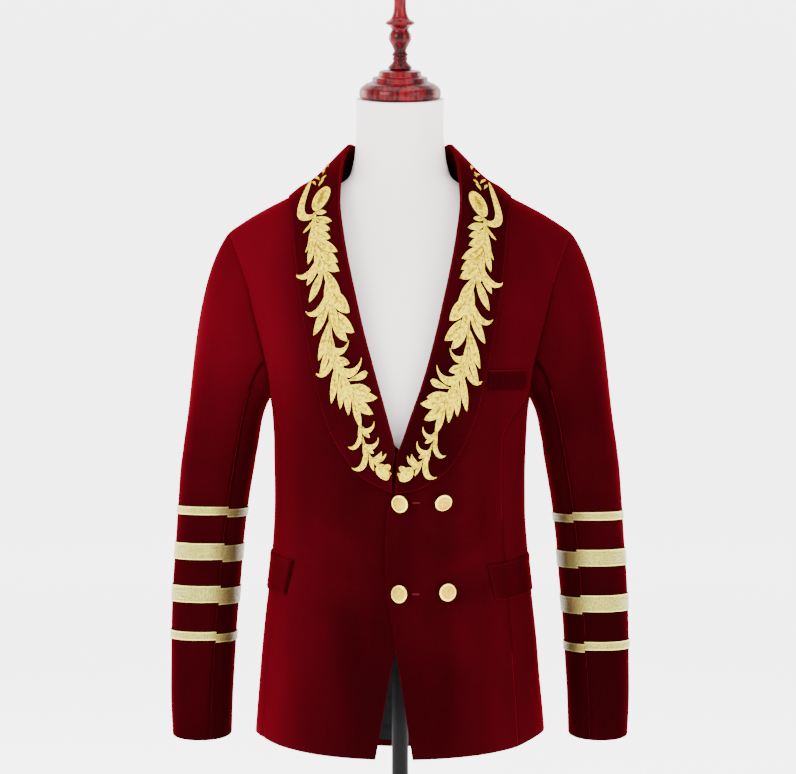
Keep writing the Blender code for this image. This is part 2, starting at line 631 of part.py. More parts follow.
def clear_of_trunk(points, side, height):
    """Moves points out along the trunk's normal until they lie at least this high above it."""
    tree, base, normals = TREES[side]
    flat = points.reshape(-1, 3)
    nearest = np.array([tree.find(Vector(point))[1] for point in flat])
    above = ((flat - base[nearest]) * normals[nearest]).sum(-1)
    lift = (side == LEFT) * LAP_LIFT * (1 - ramp(side * flat[:, 0], 0.035, 0.075))
    lift = lift * (1 - ramp(flat[:, 2], *LAP_TOP))
    wanted = np.broadcast_to(height, points.shape[:-1]).reshape(-1) + lift
    short = wanted - above
    soft = 0.5 * (short + np.sqrt(short**2 + SOFT_CLEAR**2))
    return (flat + normals[nearest] * soft[:, None]).reshape(points.shape)


def collar_lines(side):
    """Stations of the roll line and of the outer edge as points, from the opening's foot to the back."""
    lapel = LAPEL.copy()
    if side == LEFT:
        lapel[:3] = LEFT_FOOT
    roll_y = trunk_y(lapel[:, 0], lapel[:, 1], FRONT) - LAPEL_LIFT - COLLAR_LAY - COLLAR_WALL
    roll = np.column_stack([lapel[:, 0], roll_y, lapel[:, 1]])
    edge = np.column_stack([lapel[:, 2], trunk_y(lapel[:, 2], lapel[:, 3], FRONT), lapel[:, 3]])
    neck_y = trunk_y(NECK[:, 3], NECK[:, 4], BACK)
    neck_y[0] = SHOULDER_Y
    roll = np.concatenate([roll, NECK[:, :3]])
    edge = np.concatenate([edge, np.column_stack([NECK[:, 3], neck_y, NECK[:, 4]])])
    return roll * (side, 1, 1), edge * (side, 1, 1)


COLLAR_LAST = len(LAPEL) + len(NECK) - 1
COLLAR_LINES = {side: collar_lines(side) for side in (LEFT, RIGHT)}


def station_curve(points, at):
    table = np.column_stack([np.arange(len(points)), points])
    return np.stack([smooth(table, at, c + 1) for c in range(3)], axis=-1)


def collar_point(across, station, side):
    """The collar's upper face: 0 is the roll line and 1 the outer edge, at a station of the tables."""
    roll, edge = (station_curve(line, station) for line in COLLAR_LINES[side])
    out = unit(np.cross(station_curve(COLLAR_LINES[side][0], np.minimum(station + 0.1, COLLAR_LAST))
                        - station_curve(COLLAR_LINES[side][0], np.maximum(station - 0.1, 0)), edge - roll))
    up, before = ramp(station, 9, 11)[..., None], (station < 10)[..., None]
    out = out * np.sign(out[..., 2:3] * up - out[..., 1:2] * before)
    swell = (0.003 + 0.005 * ramp(station, 8, 11)) * 4 * across * (1 - across)
    straight = roll + (edge - roll) * across[..., None] + out * swell[..., None]
    over_shoulder = 0.0026 * ramp(station, 6.5, 8.5) * (1 - ramp(station, 11.5, 13))
    return clear_of_trunk(straight, side, COLLAR_LAY + COLLAR_WALL + over_shoulder)


def collar(side):
    """Half of the shawl collar. Its two halves meet at the middle of the back on a flat seam."""
    stations = np.concatenate([np.linspace(0, 8, 13), np.linspace(8.5, 11, 6),
                               np.linspace(11.6, COLLAR_LAST, 5)])
    u, v = np.meshgrid(np.linspace(0, 1, 7), stations, indexing="ij")
    points = collar_point(u, v, side)
    normal = normals_of(lambda a, b: collar_point(a, b, side), u, v, from_axis(points))
    normal[:, -1, 0] = 0
    inner = points - unit(normal) * COLLAR_WALL
    points[:, -1, 0] = side * SEAM
    inner[:, -1, 0] = side * SEAM
    wall_mesh("collar_" + SIDE_NAME[side], points, inner, VELVET)


# What lies on the fronts

def on_front(out, z, side):
    """A point of a front's outer face at a distance out and height."""
    y = trunk_y(out, z, FRONT, fold_height(out, z, side, FRONT)) - front_lift(out, z, side)
    return np.stack([side * out, y, z], axis=-1)


def breast_welt():
    low, high = WELT_CORNERS

    def surface(u, v):
        out = low[0] + (high[0] - low[0]) * u
        z = low[1] + (high[1] - low[1]) * v + 0.0015 * u
        return on_front(out, z, LEFT)
    wall("breast_welt", surface, np.linspace(0, 1, 6), np.linspace(0, 1, 3), from_axis, VELVET_DARK,
         thickness=FLAP_WALL, lift=WELT_LIFT + FLAP_WALL)


def pocket_flap(side):
    """A flap that hangs from the pocket's slanting mouth and wraps round the side."""
    front_out, front_top, back_angle = FLAPS[side]

    def surface(u, v):
        start = ring_angle(front_out + 0.007 * v, front_top + 0 * u, FRONT)
        angle = start + (math.radians(back_angle) - start) * u
        top = front_top + FLAP_RISE * ramp(u, -0.1, 0.7)
        corner = FLAP_CORNER * ramp(0.12 - u, 0, 0.12) * v
        z = top - (FLAP_DEPTH - corner) * v
        return ring_point(angle, z, side)
    wall("flap_" + SIDE_NAME[side], surface, np.array([0, 0.06, 0.2, 0.35, 0.5, 0.65, 0.8, 0.94, 1.0]),
         np.linspace(0, 1, 4), from_axis, VELVET_DARK, thickness=FLAP_WALL, lift=FLAP_LIFT + FLAP_WALL)


def turned(name, profile, colour, segments=20, roughness=0.4, metallic=0.0):
    """A solid turned round its own Z from rows of radius and height, bottom to top."""
    angle = np.linspace(0, 2 * math.pi, segments, endpoint=False)
    points = [(r * math.cos(a), r * math.sin(a), h) for r, h in profile for a in angle]
    faces = []
    for row in range(len(profile) - 1):
        for n in range(segments):
            m = (n + 1) % segments
            low, high = row * segments, (row + 1) * segments
            faces.append((low + n, low + m, high + m, high + n))
    last = (len(profile) - 1) * segments
    faces.append(tuple(range(segments - 1, -1, -1)))
    faces.append(tuple(range(last, last + segments)))
    return add_mesh(name, points, faces, colour, roughness, metallic)


def button(number, out, z, swing, nod):
    """A domed button with a rim, on a shank, swung sideways and nodded down by degrees from square."""
    spot = on_front(np.array(out), np.array(z), LEFT)
    near = on_front(np.array(out + 0.004), np.array(z), LEFT) - spot
    above = on_front(np.array(out), np.array(z + 0.004), LEFT) - spot
    normal = Vector(unit(np.cross(near, above)))
    radius = BUTTON_RADIUS
    profile = [(0.25, 0.0), (0.20, SHANK), (1, SHANK + 0.0008), (1, SHANK + 0.0022),
               (0.86, SHANK + 0.0028), (0.55, SHANK + 0.0044), (0.16, SHANK + 0.0053)]
    profile = [(radius * share, z) for share, z in profile]
    thing = turned(f"button_{number}", profile, BUTTON_GOLD, segments=16, roughness=0.35, metallic=0.6)
    leaning = Euler((math.radians(nod), 0, math.radians(swing))).to_matrix() @ normal
    thing.location = Vector(spot) + normal * (BUTTON_GAP + 0.25 * radius * leaning.angle(normal))
    thing.rotation_euler = leaning.to_track_quat("Z", "Y").to_euler()


# Leaf garland

def garland_frame(side):
    """Station for each distance along the middle of the collar, and the collar's width there."""
    station = np.linspace(0, 10.5, 200)
    middle = collar_point(np.full(200, 0.5), station, side)
    length = np.concatenate([[0], np.cumsum(np.linalg.norm(np.diff(middle, axis=0), axis=1))])
    roll, edge = (station_curve(line, station) for line in COLLAR_LINES[side])
    return station, length, np.linalg.norm(edge - roll, axis=1)


GARLANDS = {side: garland_frame(side) for side in (LEFT, RIGHT)}


def garland_point(run, off, side):
    """A point of the collar a distance along its middle and off to the outer edge's side."""
    station, length, width = GARLANDS[side]
    at = np.interp(run, length, station)
    across = np.clip(0.5 + off / np.interp(at, station, width), 0.03, 0.97)
    return collar_point(across, at, side)


def garland_normal(run, off, side):
    step = 0.0008
    up = garland_point(run + step, off, side) - garland_point(run - step, off, side)
    out = garland_point(run, off + step, side) - garland_point(run, off - step, side)
    return unit(np.cross(up, out)) * -side


def garland_leaves():
    """Leaves from the top down: share of the stem, hand (1 outer), heading off the stem in degrees,
    length, half width and bend in degrees. They are fullest past the middle, and every fifth one hooks
    outward."""
    rows = [(0.0, 1, 172, 0.027, 0.0068, 10), (0.01, 1, 60, 0.038, 0.0022, 165),
            (0.02, -1, 25, 0.022, 0.0040, -10)]
    for number in range(LEAF_COUNT):
        share = 0.04 + 0.95 * number / (LEAF_COUNT - 1)
        fullness = math.sin(math.pi * min(1, share ** 0.85)) ** 0.8
        hook = number % 5 == 3
        hand = 1 if number % 2 else -1
        heading = 34 + 7 * math.sin(2.1 * number) + (10 if hook else 0)
        grown = (LEAF_LENGTH[1] - LEAF_LENGTH[0]) * fullness * (1 + 0.08 * math.sin(1.7 * number))
        length = LEAF_LENGTH[0] + grown
        spread = (LEAF_HALF_WIDTH[1] - LEAF_HALF_WIDTH[0]) * fullness * (0.62 if hook else 1)
        half = LEAF_HALF_WIDTH[0] + spread
        bend = 88 if hook else -12 + 14 * math.sin(1.3 * number)
        rows.append((share, hand, heading, length, half, bend))
    return rows


def leaf_shape(side, name, run, off, hand, heading, length, half_width, bend, rows=4):
    """One leaf on the collar: a middle line that bends, a width that swells and narrows, a raised rib."""
    t = np.linspace(0, 1, rows)
    turn = math.radians(heading) + math.radians(bend) * t
    step = length / (rows - 1)
    mid_run = run - np.concatenate([[0], np.cumsum(np.cos(turn[:-1]) * step)])
    mid_off = off + hand * np.concatenate([[0], np.cumsum(np.sin(turn[:-1]) * step)])
    half = half_width * np.maximum(np.sin(math.pi * t**0.85), 0) ** 0.75 + 0.0008
    across = np.array([-1.0, 0.0, 1.0])
    runs = mid_run[:, None] + np.sin(turn)[:, None] * half[:, None] * across
    offs = mid_off[:, None] + hand * np.cos(turn)[:, None] * half[:, None] * across
    base = garland_point(runs, offs, side)
    normal = garland_normal(runs, offs, side)
    crown = LEAF_WALL * (1 + 0.6 * (across == 0)) * np.ones((rows, 1))
    low = base + normal * LEAF_LAY
    return wall_mesh(name, low + normal * crown[..., None], low, GOLD_THREAD, 0.5)


def garland(side):
    """A stem down the lapel with leaves whose tips point down and out, and a bud at its top."""
    share = np.linspace(0, 1, 15)
    run = GARLAND_TOP - (GARLAND_TOP - GARLAND_FOOT) * share
    sway = GARLAND_SWAY * np.sin(2 * math.pi * 2.5 * share)
    offs = np.stack([sway - STEM_HALF, sway, sway + STEM_HALF], axis=1)
    runs = np.repeat(run[:, None], 3, axis=1)
    low = garland_point(runs, offs, side) + garland_normal(runs, offs, side) * LEAF_LAY
    high = low + garland_normal(runs, offs, side) * LEAF_WALL * np.array([0.9, 1.25, 0.9])[:, None]
    stem = wall_mesh("garland_" + SIDE_NAME[side], high, low, GOLD_THREAD, 0.5)
    leaves = bpy.data.collections.new("leaves_" + SIDE_NAME[side])
    bpy.context.scene.collection.children.link(leaves)
    for number, (at, hand, heading, length, half_width, bend) in enumerate(garland_leaves()):
        spot = float(np.interp(at, share, run))
        sideways = float(np.interp(at, share, sway))
        leaf = leaf_shape(side, f"leaf_{SIDE_NAME[side]}_{number}", spot, sideways, hand, heading, length,
                          half_width, bend, 6 if abs(bend) > 60 else 4)
        bpy.context.scene.collection.objects.unlink(leaf)
        leaves.objects.link(leaf)
        leaf.hide_render = True
        leaf.display_type = "WIRE"
    join = stem.modifiers.new("Leaves", "BOOLEAN")
    join.operation = "UNION"
    join.operand_type = "COLLECTION"
    join.collection = leaves
    join.solver = "EXACT"


# Dress form and stand

def form_torso():
    segments = 20
    angle = np.linspace(0, 2 * math.pi, segments, endpoint=False)
    heights = np.concatenate([np.linspace(0.42, 0.84, 7), FORM[7:, 0]])
    points = []
    for z in heights:
        width = float(smooth(FORM, z, 1))
        depth = np.where(np.sin(angle) < 0, smooth(FORM, z, 2), smooth(FORM, z, 3))
        power = ROUND if z < 0.9 else 2.0
        x = width * np.sign(np.cos(angle)) * np.abs(np.cos(angle)) ** (2 / power)
        y = depth * np.sign(np.sin(angle)) * np.abs(np.sin(angle)) ** (2 / power)
        lean = math.tan(CAP_TILT) * y * float(ramp(z, 0.985, NECK_TOP_Z))
        points += [(a, b, z + c) for a, b, c in zip(x, y, lean)]
    faces = []
    for row in range(len(heights) - 1):
        for n in range(segments):
            m = (n + 1) % segments
            low, high = row * segments, (row + 1) * segments
            faces.append((low + n, low + m, high + m, high + n))
    last = (len(heights) - 1) * segments
    faces.append(tuple(range(segments - 1, -1, -1)))
    faces.append(tuple(range(last, last + segments)))
    add_mesh("form_torso", points, faces, LINEN, 0.9)


def tilted(thing, height):
    thing.rotation_euler = (CAP_TILT, 0, 0)
    thing.location = Vector((0, -height * math.sin(CAP_TILT), NECK_TOP_Z + height * math.cos(CAP_TILT)))


def form_stand():
    """A turned neck cap and finial on top, a pole and a round foot below."""
    cap = turned("form_cap", NECK_CAP, MAHOGANY, segments=20, roughness=0.25)
    tilted(cap, 0.0003)
    finial = turned("form_finial", FINIAL, MAHOGANY, segments=12, roughness=0.25)
    tilted(finial, 0.0003 + NECK_CAP[-1][1] + 0.0003)
    pole = turned("form_pole", [(POLE_RADIUS, 0), (POLE_RADIUS, FORM[0, 0] - BASE_HEIGHT - 0.0006)], BLACK)
    pole.location = (0, 0, BASE_HEIGHT + 0.0003)
    turned("form_base", [(BASE_RADIUS - 0.001, 0), (BASE_RADIUS, 0.001), (BASE_RADIUS, 0.010),
                         (BASE_RADIUS - 0.012, 0.016), (0.030, BASE_HEIGHT), (0.020, BASE_HEIGHT)],
           BLACK, segments=20)


def main():
    for side in (LEFT, RIGHT):
        front_panel(side)
        side_panel(side)
        back_panel(side)
        sleeves(side)
        collar(side)
        garland(side)
        pocket_flap(side)
    back_lining()
    breast_welt()
    for number, row in enumerate(BUTTONS, 1):
        button(number, *row)
    form_torso()
    form_stand()


main()
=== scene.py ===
"""Looks of the velvet tuxedo jacket on its dress form.

Metres, +Z up. The jacket faces -Y, and the origin is the middle of the stand's base, on the floor.
"left" and "right" are the wearer's, so a left piece lies at +X.

Every piece of cloth is a thin closed shell on a surface of two parameters. The trunk, the sleeves and
the collar each have such a surface, and what lies on them is laid out on the same surface and moved out.
"""

import logging
import math
from dataclasses import dataclass, field
from enum import Enum
from typing import Any, Callable, Sequence

import bpy
import numpy as np
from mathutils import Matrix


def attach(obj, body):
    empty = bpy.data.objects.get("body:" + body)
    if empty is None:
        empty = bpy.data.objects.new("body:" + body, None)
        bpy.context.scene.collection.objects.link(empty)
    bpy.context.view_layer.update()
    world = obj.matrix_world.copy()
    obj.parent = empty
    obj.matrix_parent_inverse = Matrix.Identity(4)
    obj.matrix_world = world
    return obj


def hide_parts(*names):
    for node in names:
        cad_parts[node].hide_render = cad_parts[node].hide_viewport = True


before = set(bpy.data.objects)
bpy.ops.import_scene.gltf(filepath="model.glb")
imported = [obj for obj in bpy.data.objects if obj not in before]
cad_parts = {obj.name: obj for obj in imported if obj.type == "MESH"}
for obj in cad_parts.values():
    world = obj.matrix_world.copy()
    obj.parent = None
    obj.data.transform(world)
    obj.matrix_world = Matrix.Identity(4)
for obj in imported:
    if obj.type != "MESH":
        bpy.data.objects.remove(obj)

log = logging.getLogger("jacket")
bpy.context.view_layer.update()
MM = 0.001


class Side(Enum):
    """The wearer's side, and its sign along X."""

    LEFT = 1
    RIGHT = -1

    @property
    def word(self) -> str:
        """The side as a word in a piece's name."""
        return self.name.lower()


class Face(Enum):
    """The front or the back of the trunk, and its sign along Y."""

    FRONT = -1
    BACK = 1


# Numbers

def table(*rows: Sequence[float]) -> np.ndarray:
    """A short table of sizes as an array of floats."""
    return np.array(rows, dtype=float)


def sized(*rows: Sequence[float]) -> Any:
    """A dataclass field that holds a short table."""
    return field(default_factory=lambda: table(*rows))


def fold_rows(*rows: Sequence[float]) -> np.ndarray:
    """Folds in millimetres and degrees: place across and up, slope, length, width and depth."""
    return table(*rows) * (MM, MM, 1, MM, MM, MM)


def spans(across: np.ndarray, along: np.ndarray) -> list[np.ndarray]:
    """Two arrays over a grid, the first rising across it and the second along it."""
    return np.meshgrid(across, along, indexing="ij")


def cubic(t: Any, start: Any, leave: Any, end: Any, arrive: Any) -> Any:
    """The cubic from start at t = 0 to end at t = 1 whose slopes there are leave and arrive."""
    return ((2 * t**3 - 3 * t**2 + 1) * start + (t**3 - 2 * t**2 + t) * leave
            + (3 * t**2 - 2 * t**3) * end + (t**3 - t**2) * arrive)


def smooth(rows: np.ndarray, at: Any, column: int = 1) -> np.ndarray:
    """Reads a column of a table: a cubic between two rows with the slopes of the rows around them.

    Args:
        rows: The table, its first column rising.
        at: Where to read, in the first column's units.
        column: The column to read.

    Returns:
        The values at those places, held at the ends.
    """
    known, value = rows[:, 0], rows[:, column]
    slope = np.gradient(value, known)
    at = np.asarray(at, float)
    low = np.clip(np.searchsorted(known, at) - 1, 0, len(known) - 2)
    span = known[low + 1] - known[low]
    t = np.clip((at - known[low]) / span, 0, 1)
    return cubic(t, value[low], span * slope[low], value[low + 1], span * slope[low + 1])


def through(points: np.ndarray, at: np.ndarray) -> np.ndarray:
    """A smooth curve through points that are one unit of the parameter apart.

    Args:
        points: The points, one a row.
        at: Places along the curve, 0 at the first point.

    Returns:
        The curve's points there.
    """
    rows = np.column_stack([np.arange(len(points)), points])
    return np.stack([smooth(rows, at, c + 1) for c in range(points.shape[1])], axis=-1)


def unit(vectors: np.ndarray) -> np.ndarray:
    """Vectors divided by their lengths."""
    return vectors / np.maximum(np.linalg.norm(vectors, axis=-1, keepdims=True), 1e-12)


def ramp(value: Any, low: float, high: float) -> np.ndarray:
    """3t^2 - 2t^3 with t the share of the way from low to high, held between 0 and 1."""
    t = np.clip((value - low) / (high - low), 0, 1)
    return t * t * (3 - 2 * t)


def bell(value: Any, width: float) -> np.ndarray:
    """exp(-(value / width)^2), a bump of height 1."""
    return np.exp(-(value / width) ** 2)


def walked(points: np.ndarray) -> np.ndarray:
    """Lengths along a line of points, 0 at the first."""
    return np.concatenate([[0], np.cumsum(np.linalg.norm(np.diff(points, axis=0), axis=1))])


def hump(share: Any) -> Any:
    """4 t (1 - t): 1 halfway and 0 at both ends."""
    return 4 * share * (1 - share)


def squarer(value: Any, power: float) -> Any:
    """A sine or cosine whose size is raised to 2 / power, for an oval squarer than an ellipse."""
    return np.sign(value) * np.abs(value) ** (2 / power)


def evenly(length: float, step: float) -> np.ndarray:
    """Shares 0 to 1 about a step apart on a length."""
    return np.linspace(0, 1, max(2, int(round(length / step)) + 1))


def from_axis(points: np.ndarray) -> np.ndarray:
    """Directions straight out from the stand's axis."""
    return unit(points * (1, 1, 0) + (0, 0, 1e-9))


def grid_normals(points: np.ndarray, outward: np.ndarray) -> np.ndarray:
    """Unit normals of a grid of points, from the differences of its neighbours.

    Args:
        points: A grid of points.
        outward: Rough directions outwards, which settle the sign.

    Returns:
        A grid of normals.
    """
    normal = unit(np.cross(np.gradient(points, axis=0), np.gradient(points, axis=1)))
    return normal * np.sign((normal * outward).sum())


def axis_normals(points: np.ndarray) -> np.ndarray:
    """Unit normals of a grid of points, away from the stand's axis."""
    return grid_normals(points, from_axis(points))


# Materials

class Value:
    """A number that a material works out, with Python's operators on it."""

    def __init__(self, paint: "Paint", socket: Any) -> None:
        """Keeps the socket that gives the number."""
        self.paint, self.socket = paint, socket

    def _join(self, operation: str, *others: Any, swap: bool = False) -> "Value":
        """Adds a Math node on this value and the others."""
        terms = [self, *others][::-1] if swap else [self, *others]
        node = self.paint.node("ShaderNodeMath", {"operation": operation}, dict(enumerate(terms)))
        return Value(self.paint, node.outputs[0])

    def __add__(self, other: Any) -> "Value":
        """self + other."""
        return self._join("ADD", other)

    def __sub__(self, other: Any) -> "Value":
        """self - other."""
        return self._join("SUBTRACT", other)

    def __mul__(self, other: Any) -> "Value":
        """self * other."""
        return self._join("MULTIPLY", other)

    def __truediv__(self, other: Any) -> "Value":
        """self / other."""
        return self._join("DIVIDE", other)

    def __rsub__(self, other: Any) -> "Value":
        """other - self."""
        return self._join("SUBTRACT", other, swap=True)

    __radd__, __rmul__ = __add__, __mul__

    def wave(self, length: float) -> "Value":
        """A sine wave of this length along the value, between -1 and 1."""
        return (self * (2 * math.pi / length))._join("SINE")

    def ridges(self, length: float) -> "Value":
        """The same wave between 0 and 1."""
        return self.wave(length) * 0.5 + 0.5

    def absolute(self) -> "Value":
        """The value without its sign."""
        return self._join("ABSOLUTE")

    def smallest(self, other: Any) -> "Value":
        """The lower of two values."""
        return self._join("MINIMUM", other)

    def largest(self, other: Any) -> "Value":
        """The higher of two values."""
        return self._join("MAXIMUM", other)

    def fraction(self) -> "Value":
        """What is left after the whole number."""
        return self._join("FRACT")

    def fade(self, low: float, high: float) -> "Value":
        """0 below low, 1 above high and smooth between them."""
        node = self.paint.node("ShaderNodeMapRange", {"interpolation_type": "SMOOTHSTEP"},
                               {"Value": self, "From Min": low, "From Max": high})
        return Value(self.paint, node.outputs["Result"])


def opaque(value: Any) -> Any:
    """A colour with an alpha of 1 added, and anything else as it is."""
    return (*value, 1) if isinstance(value, tuple) and len(value) == 3 else value


class Paint:
    """A material and its nodes."""

    def __init__(self, name: str) -> None:
        """Starts an empty material."""
        self.material = bpy.data.materials.new(name)
        self.material.use_nodes = True
        self.tree = self.material.node_tree
        self.tree.nodes.clear()

    def node(self, kind: str, settings: dict[str, Any] | None = None,
             sockets: dict[Any, Any] | None = None) -> bpy.types.Node:
        """Adds a node.

        Args:
            kind: The node's type.
            settings: Its properties, set first. "stops" gives a ramp's places and colours.
            sockets: Values or links by the socket's name or number.

        Returns:
            The node.
        """
        node = self.tree.nodes.new(kind)
        for name, value in (settings or {}).items():
            if name == "stops":
                for number, (place, colour) in enumerate(value):
                    ends = node.color_ramp.elements
                    stop = ends[number] if number < 2 else ends.new(place)
                    stop.position, stop.color = place, (*colour, 1)
            else:
                setattr(node, name, value)
        for name, value in (sockets or {}).items():
            if isinstance(value, Value):
                self.tree.links.new(value.socket, node.inputs[name])
            elif isinstance(value, bpy.types.NodeSocket):
                self.tree.links.new(value, node.inputs[name])
            else:
                node.inputs[name].default_value = value
        return node

    def place(self, stretch: tuple[float, float, float] = (1, 1, 1)) -> Any:
        """Object coordinates, in metres, stretched by a factor along each axis."""
        where = self.node("ShaderNodeTexCoord").outputs["Object"]
        return self.node("ShaderNodeVectorMath", {"operation": "MULTIPLY"}, {0: where, 1: stretch}).outputs[0]

    def cloth(self) -> tuple[Value, Value]:
        """The piece's own UV map as two numbers, metres across and along the cloth."""
        where = self.node("ShaderNodeUVMap", {"uv_map": "cloth"}).outputs["UV"]
        parts = self.node("ShaderNodeSeparateXYZ", None, {0: where})
        return Value(self, parts.outputs["X"]), Value(self, parts.outputs["Y"])

    def share(self, name: str) -> Value:
        """A number stored on the piece's points."""
        node = self.node("ShaderNodeAttribute", {"attribute_name": name})
        return Value(self, node.outputs["Fac"])

    def noise(self, scale: float, detail: float = 2.0, where: Any = None, rough: float = 0.5) -> Value:
        """Noise between about 0.25 and 0.75, with this many waves a metre."""
        sockets = {"Vector": where or self.place(), "Scale": scale, "Detail": detail, "Roughness": rough}
        return Value(self, self.node("ShaderNodeTexNoise", None, sockets).outputs["Fac"])

    def cells(self, scale: float, where: Any = None) -> Value:
        """Distance to the nearest of scattered points, with this many cells a metre."""
        node = self.node("ShaderNodeTexVoronoi", None, {"Vector": where or self.place(), "Scale": scale})
        return Value(self, node.outputs["Distance"])

    def mix(self, share: Any, low: Any, high: Any) -> Any:
        """A colour between two colours."""
        sockets = {0: share, 6: opaque(low), 7: opaque(high)}
        return self.node("ShaderNodeMix", {"data_type": "RGBA"}, sockets).outputs[2]

    def ramp(self, share: Value, *stops: tuple[float, tuple[float, float, float]]) -> Any:
        """A colour read off a ramp of places and colours."""
        return self.node("ShaderNodeValToRGB", {"stops": stops}, {"Fac": share}).outputs["Color"]

    def bump(self, *layers: tuple[Value, float, float]) -> Any:
        """A normal from heights, each with its strength and its depth in metres."""
        normal = None
        for height, strength, depth in layers:
            sockets = {"Height": height, "Strength": strength, "Distance": depth}
            if normal is not None:
                sockets["Normal"] = normal
            normal = self.node("ShaderNodeBump", None, sockets).outputs["Normal"]
        return normal

    def shade(self, **sockets: Any) -> bpy.types.Material:
        """Ends the material in one Principled shader.

        Args:
            sockets: Values or links by the shader's socket, with _ for a space.

        Returns:
            The material.
        """
        named = {name.replace("_", " "): opaque(value) for name, value in sockets.items()}
        shader = self.node("ShaderNodeBsdfPrincipled", None, named)
        self.node("ShaderNodeOutputMaterial", None, {"Surface": shader.outputs[0]})
        return self.material


Colour = tuple[float, float, float]


@dataclass(frozen=True)
class Velvet:
    """Cut-pile velvet: nearly black-red straight on, red where the pile shows its flank."""

    name: str = "velvet"
    # deep and lit are the two ends of one mix, moved by the pile's own patches and by painted light and shade
    deep: Colour = (0.0105, 0.0004, 0.0009)
    lit: Colour = (0.056, 0.0015, 0.0036)
    flank: Colour = (0.62, 0.010, 0.030)
    sheen: float = 0.30

    def material(self) -> bpy.types.Material:
        """Soft patches and streaks where the pile leans, painted light and shade from the numbers on the
        points, a grain of fibres, and red sheen.

        Returns:
            The material.
        """
        paint = Paint(self.name)
        patches = paint.noise(4.2, 2.0)
        streaks = paint.noise(1.0, 2.0, paint.place((26, 26, 7)))
        fibres = paint.noise(900.0, 1.0)
        # lean mixes the pile's own patches and streaks with the painted light and shade that the points carry
        # in painted_shading
        lean = (patches * 0.72 + streaks * 0.28).fade(0.34, 0.68) * 0.24 + 0.29
        lean = (lean + paint.share("painted_shading") + (fibres - 0.5) * 0.22).largest(0.0).smallest(1.0)
        colour = paint.mix(lean, self.deep, self.lit)
        normal = paint.bump((paint.noise(240.0, 3.0), 0.16, 0.0010), (fibres, 0.24, 0.0004))
        return paint.shade(Base_Color=colour, Roughness=1.0, Specular_IOR_Level=0.0, Sheen_Weight=self.sheen,
                           Sheen_Roughness=0.30, Sheen_Tint=self.flank, Normal=normal)


@dataclass(frozen=True)
class SatinStitch:
    """Silk thread laid in slanting rows to each side of a rib, with a fine cord round the edge."""

    thread: Colour = (0.64, 0.465, 0.0)
    hollow: Colour = (0.095, 0.042, 0.0)
    crown: Colour = (0.90, 0.74, 0.0)
    rim: Colour = (0.86, 0.64, 0.07)
    # foot is a painted shadow: a dark line round each leaf's very edge, where leaves lie over one another
    foot: Colour = (0.040, 0.008, 0.0)
    pitch: float = 0.00055

    def material(self) -> bpy.types.Material:
        """Rows of thread from the piece's own map, ribs and rims from the numbers on its points. The rib is
        partly darker vein thread and partly painted shade in its groove, and a painted shadow line runs round
        each leaf.

        Returns:
            The material.
        """
        paint = Paint("gold_thread")
        across, along = paint.cloth()
        rows = (across.absolute() * 0.8 + along).wave(self.pitch)
        rib, edge = paint.share("rib"), paint.share("edge")
        tone = paint.noise(300.0, 3.0).fade(0.36, 0.62)
        # The tone of the thread, darkened along the rib: partly a darker vein, partly painted shade in the
        # rib's groove
        thread_tone_and_painted_shade = (rows * 0.12 + tone * 0.58 + 0.18).largest(0.0) * (1.0 - rib.fade(0.30, 0.95) * 0.80)
        body = paint.ramp(thread_tone_and_painted_shade.smallest(1.0), (0.0, self.hollow), (0.40, self.thread), (1.0, self.crown))
        colour = paint.mix(edge.fade(0.45, 0.85), body, self.rim)
        # Painted shadow line at the outermost edge of each leaf
        colour = paint.mix(edge.fade(1.05, 1.40), colour, self.foot)
        normal = paint.bump((rows * (1.0 - edge.fade(0.4, 0.8)), 0.55, 0.00012), (tone, 0.12, 0.0008))
        return paint.shade(Base_Color=colour, Roughness=0.7, Specular_IOR_Level=0.0, Normal=normal)


@dataclass(frozen=True)
class Braid:
    """Flat metal-thread braid: a browner herringbone ground between two bright cords."""

    bright: Colour = (0.58, 0.545, 0.105)
    ground: Colour = (0.27, 0.243, 0.048)
    gap: Colour = (0.070, 0.045, 0.014)
    cord: Colour = (0.90, 0.84, 0.17)
    shaded: Colour = (0.110, 0.054, 0.034)
    thread: float = 0.0011
    lane: float = 0.0042
    twist: float = 0.0016

    def material(self) -> bpy.types.Material:
        """Threads slant to and fro from lane to lane across the braid, and twist along the edge cords.

        Returns:
            The material.
        """
        paint = Paint("braid")
        around, up = paint.cloth()
        edge = paint.share("edge")
        zigzag = ((up / self.lane).fraction() - 0.5).absolute() * self.lane
        threads = (around + zigzag * 1.6).ridges(self.thread)
        twist = (around + up * 1.2).ridges(self.twist)
        glint = paint.noise(1100.0, 1.0).fade(0.36, 0.64)
        body = paint.ramp((threads * 0.40 + glint * 0.72).smallest(1.0),
                          (0.0, self.gap), (0.42, self.ground), (0.95, self.bright))
        rim = paint.mix(twist, self.bright, self.cord)
        on_edge = edge.fade(0.35, 0.75)
        # Painted shade: the braid turns to the dark brown shaded where its points' painted_shading says it
        # faces the body
        colour = paint.mix(paint.share("painted_shading") * 0.72, paint.mix(on_edge, body, rim), self.shaded)
        height = threads * (1.0 - on_edge) + twist * on_edge
        normal = paint.bump((height, 0.7, 0.00025), (glint, 0.15, 0.0005))
        return paint.shade(Base_Color=colour, Roughness=0.46 - threads * 0.14, Metallic=0.80,
                           Specular_IOR_Level=0.1, Normal=normal)


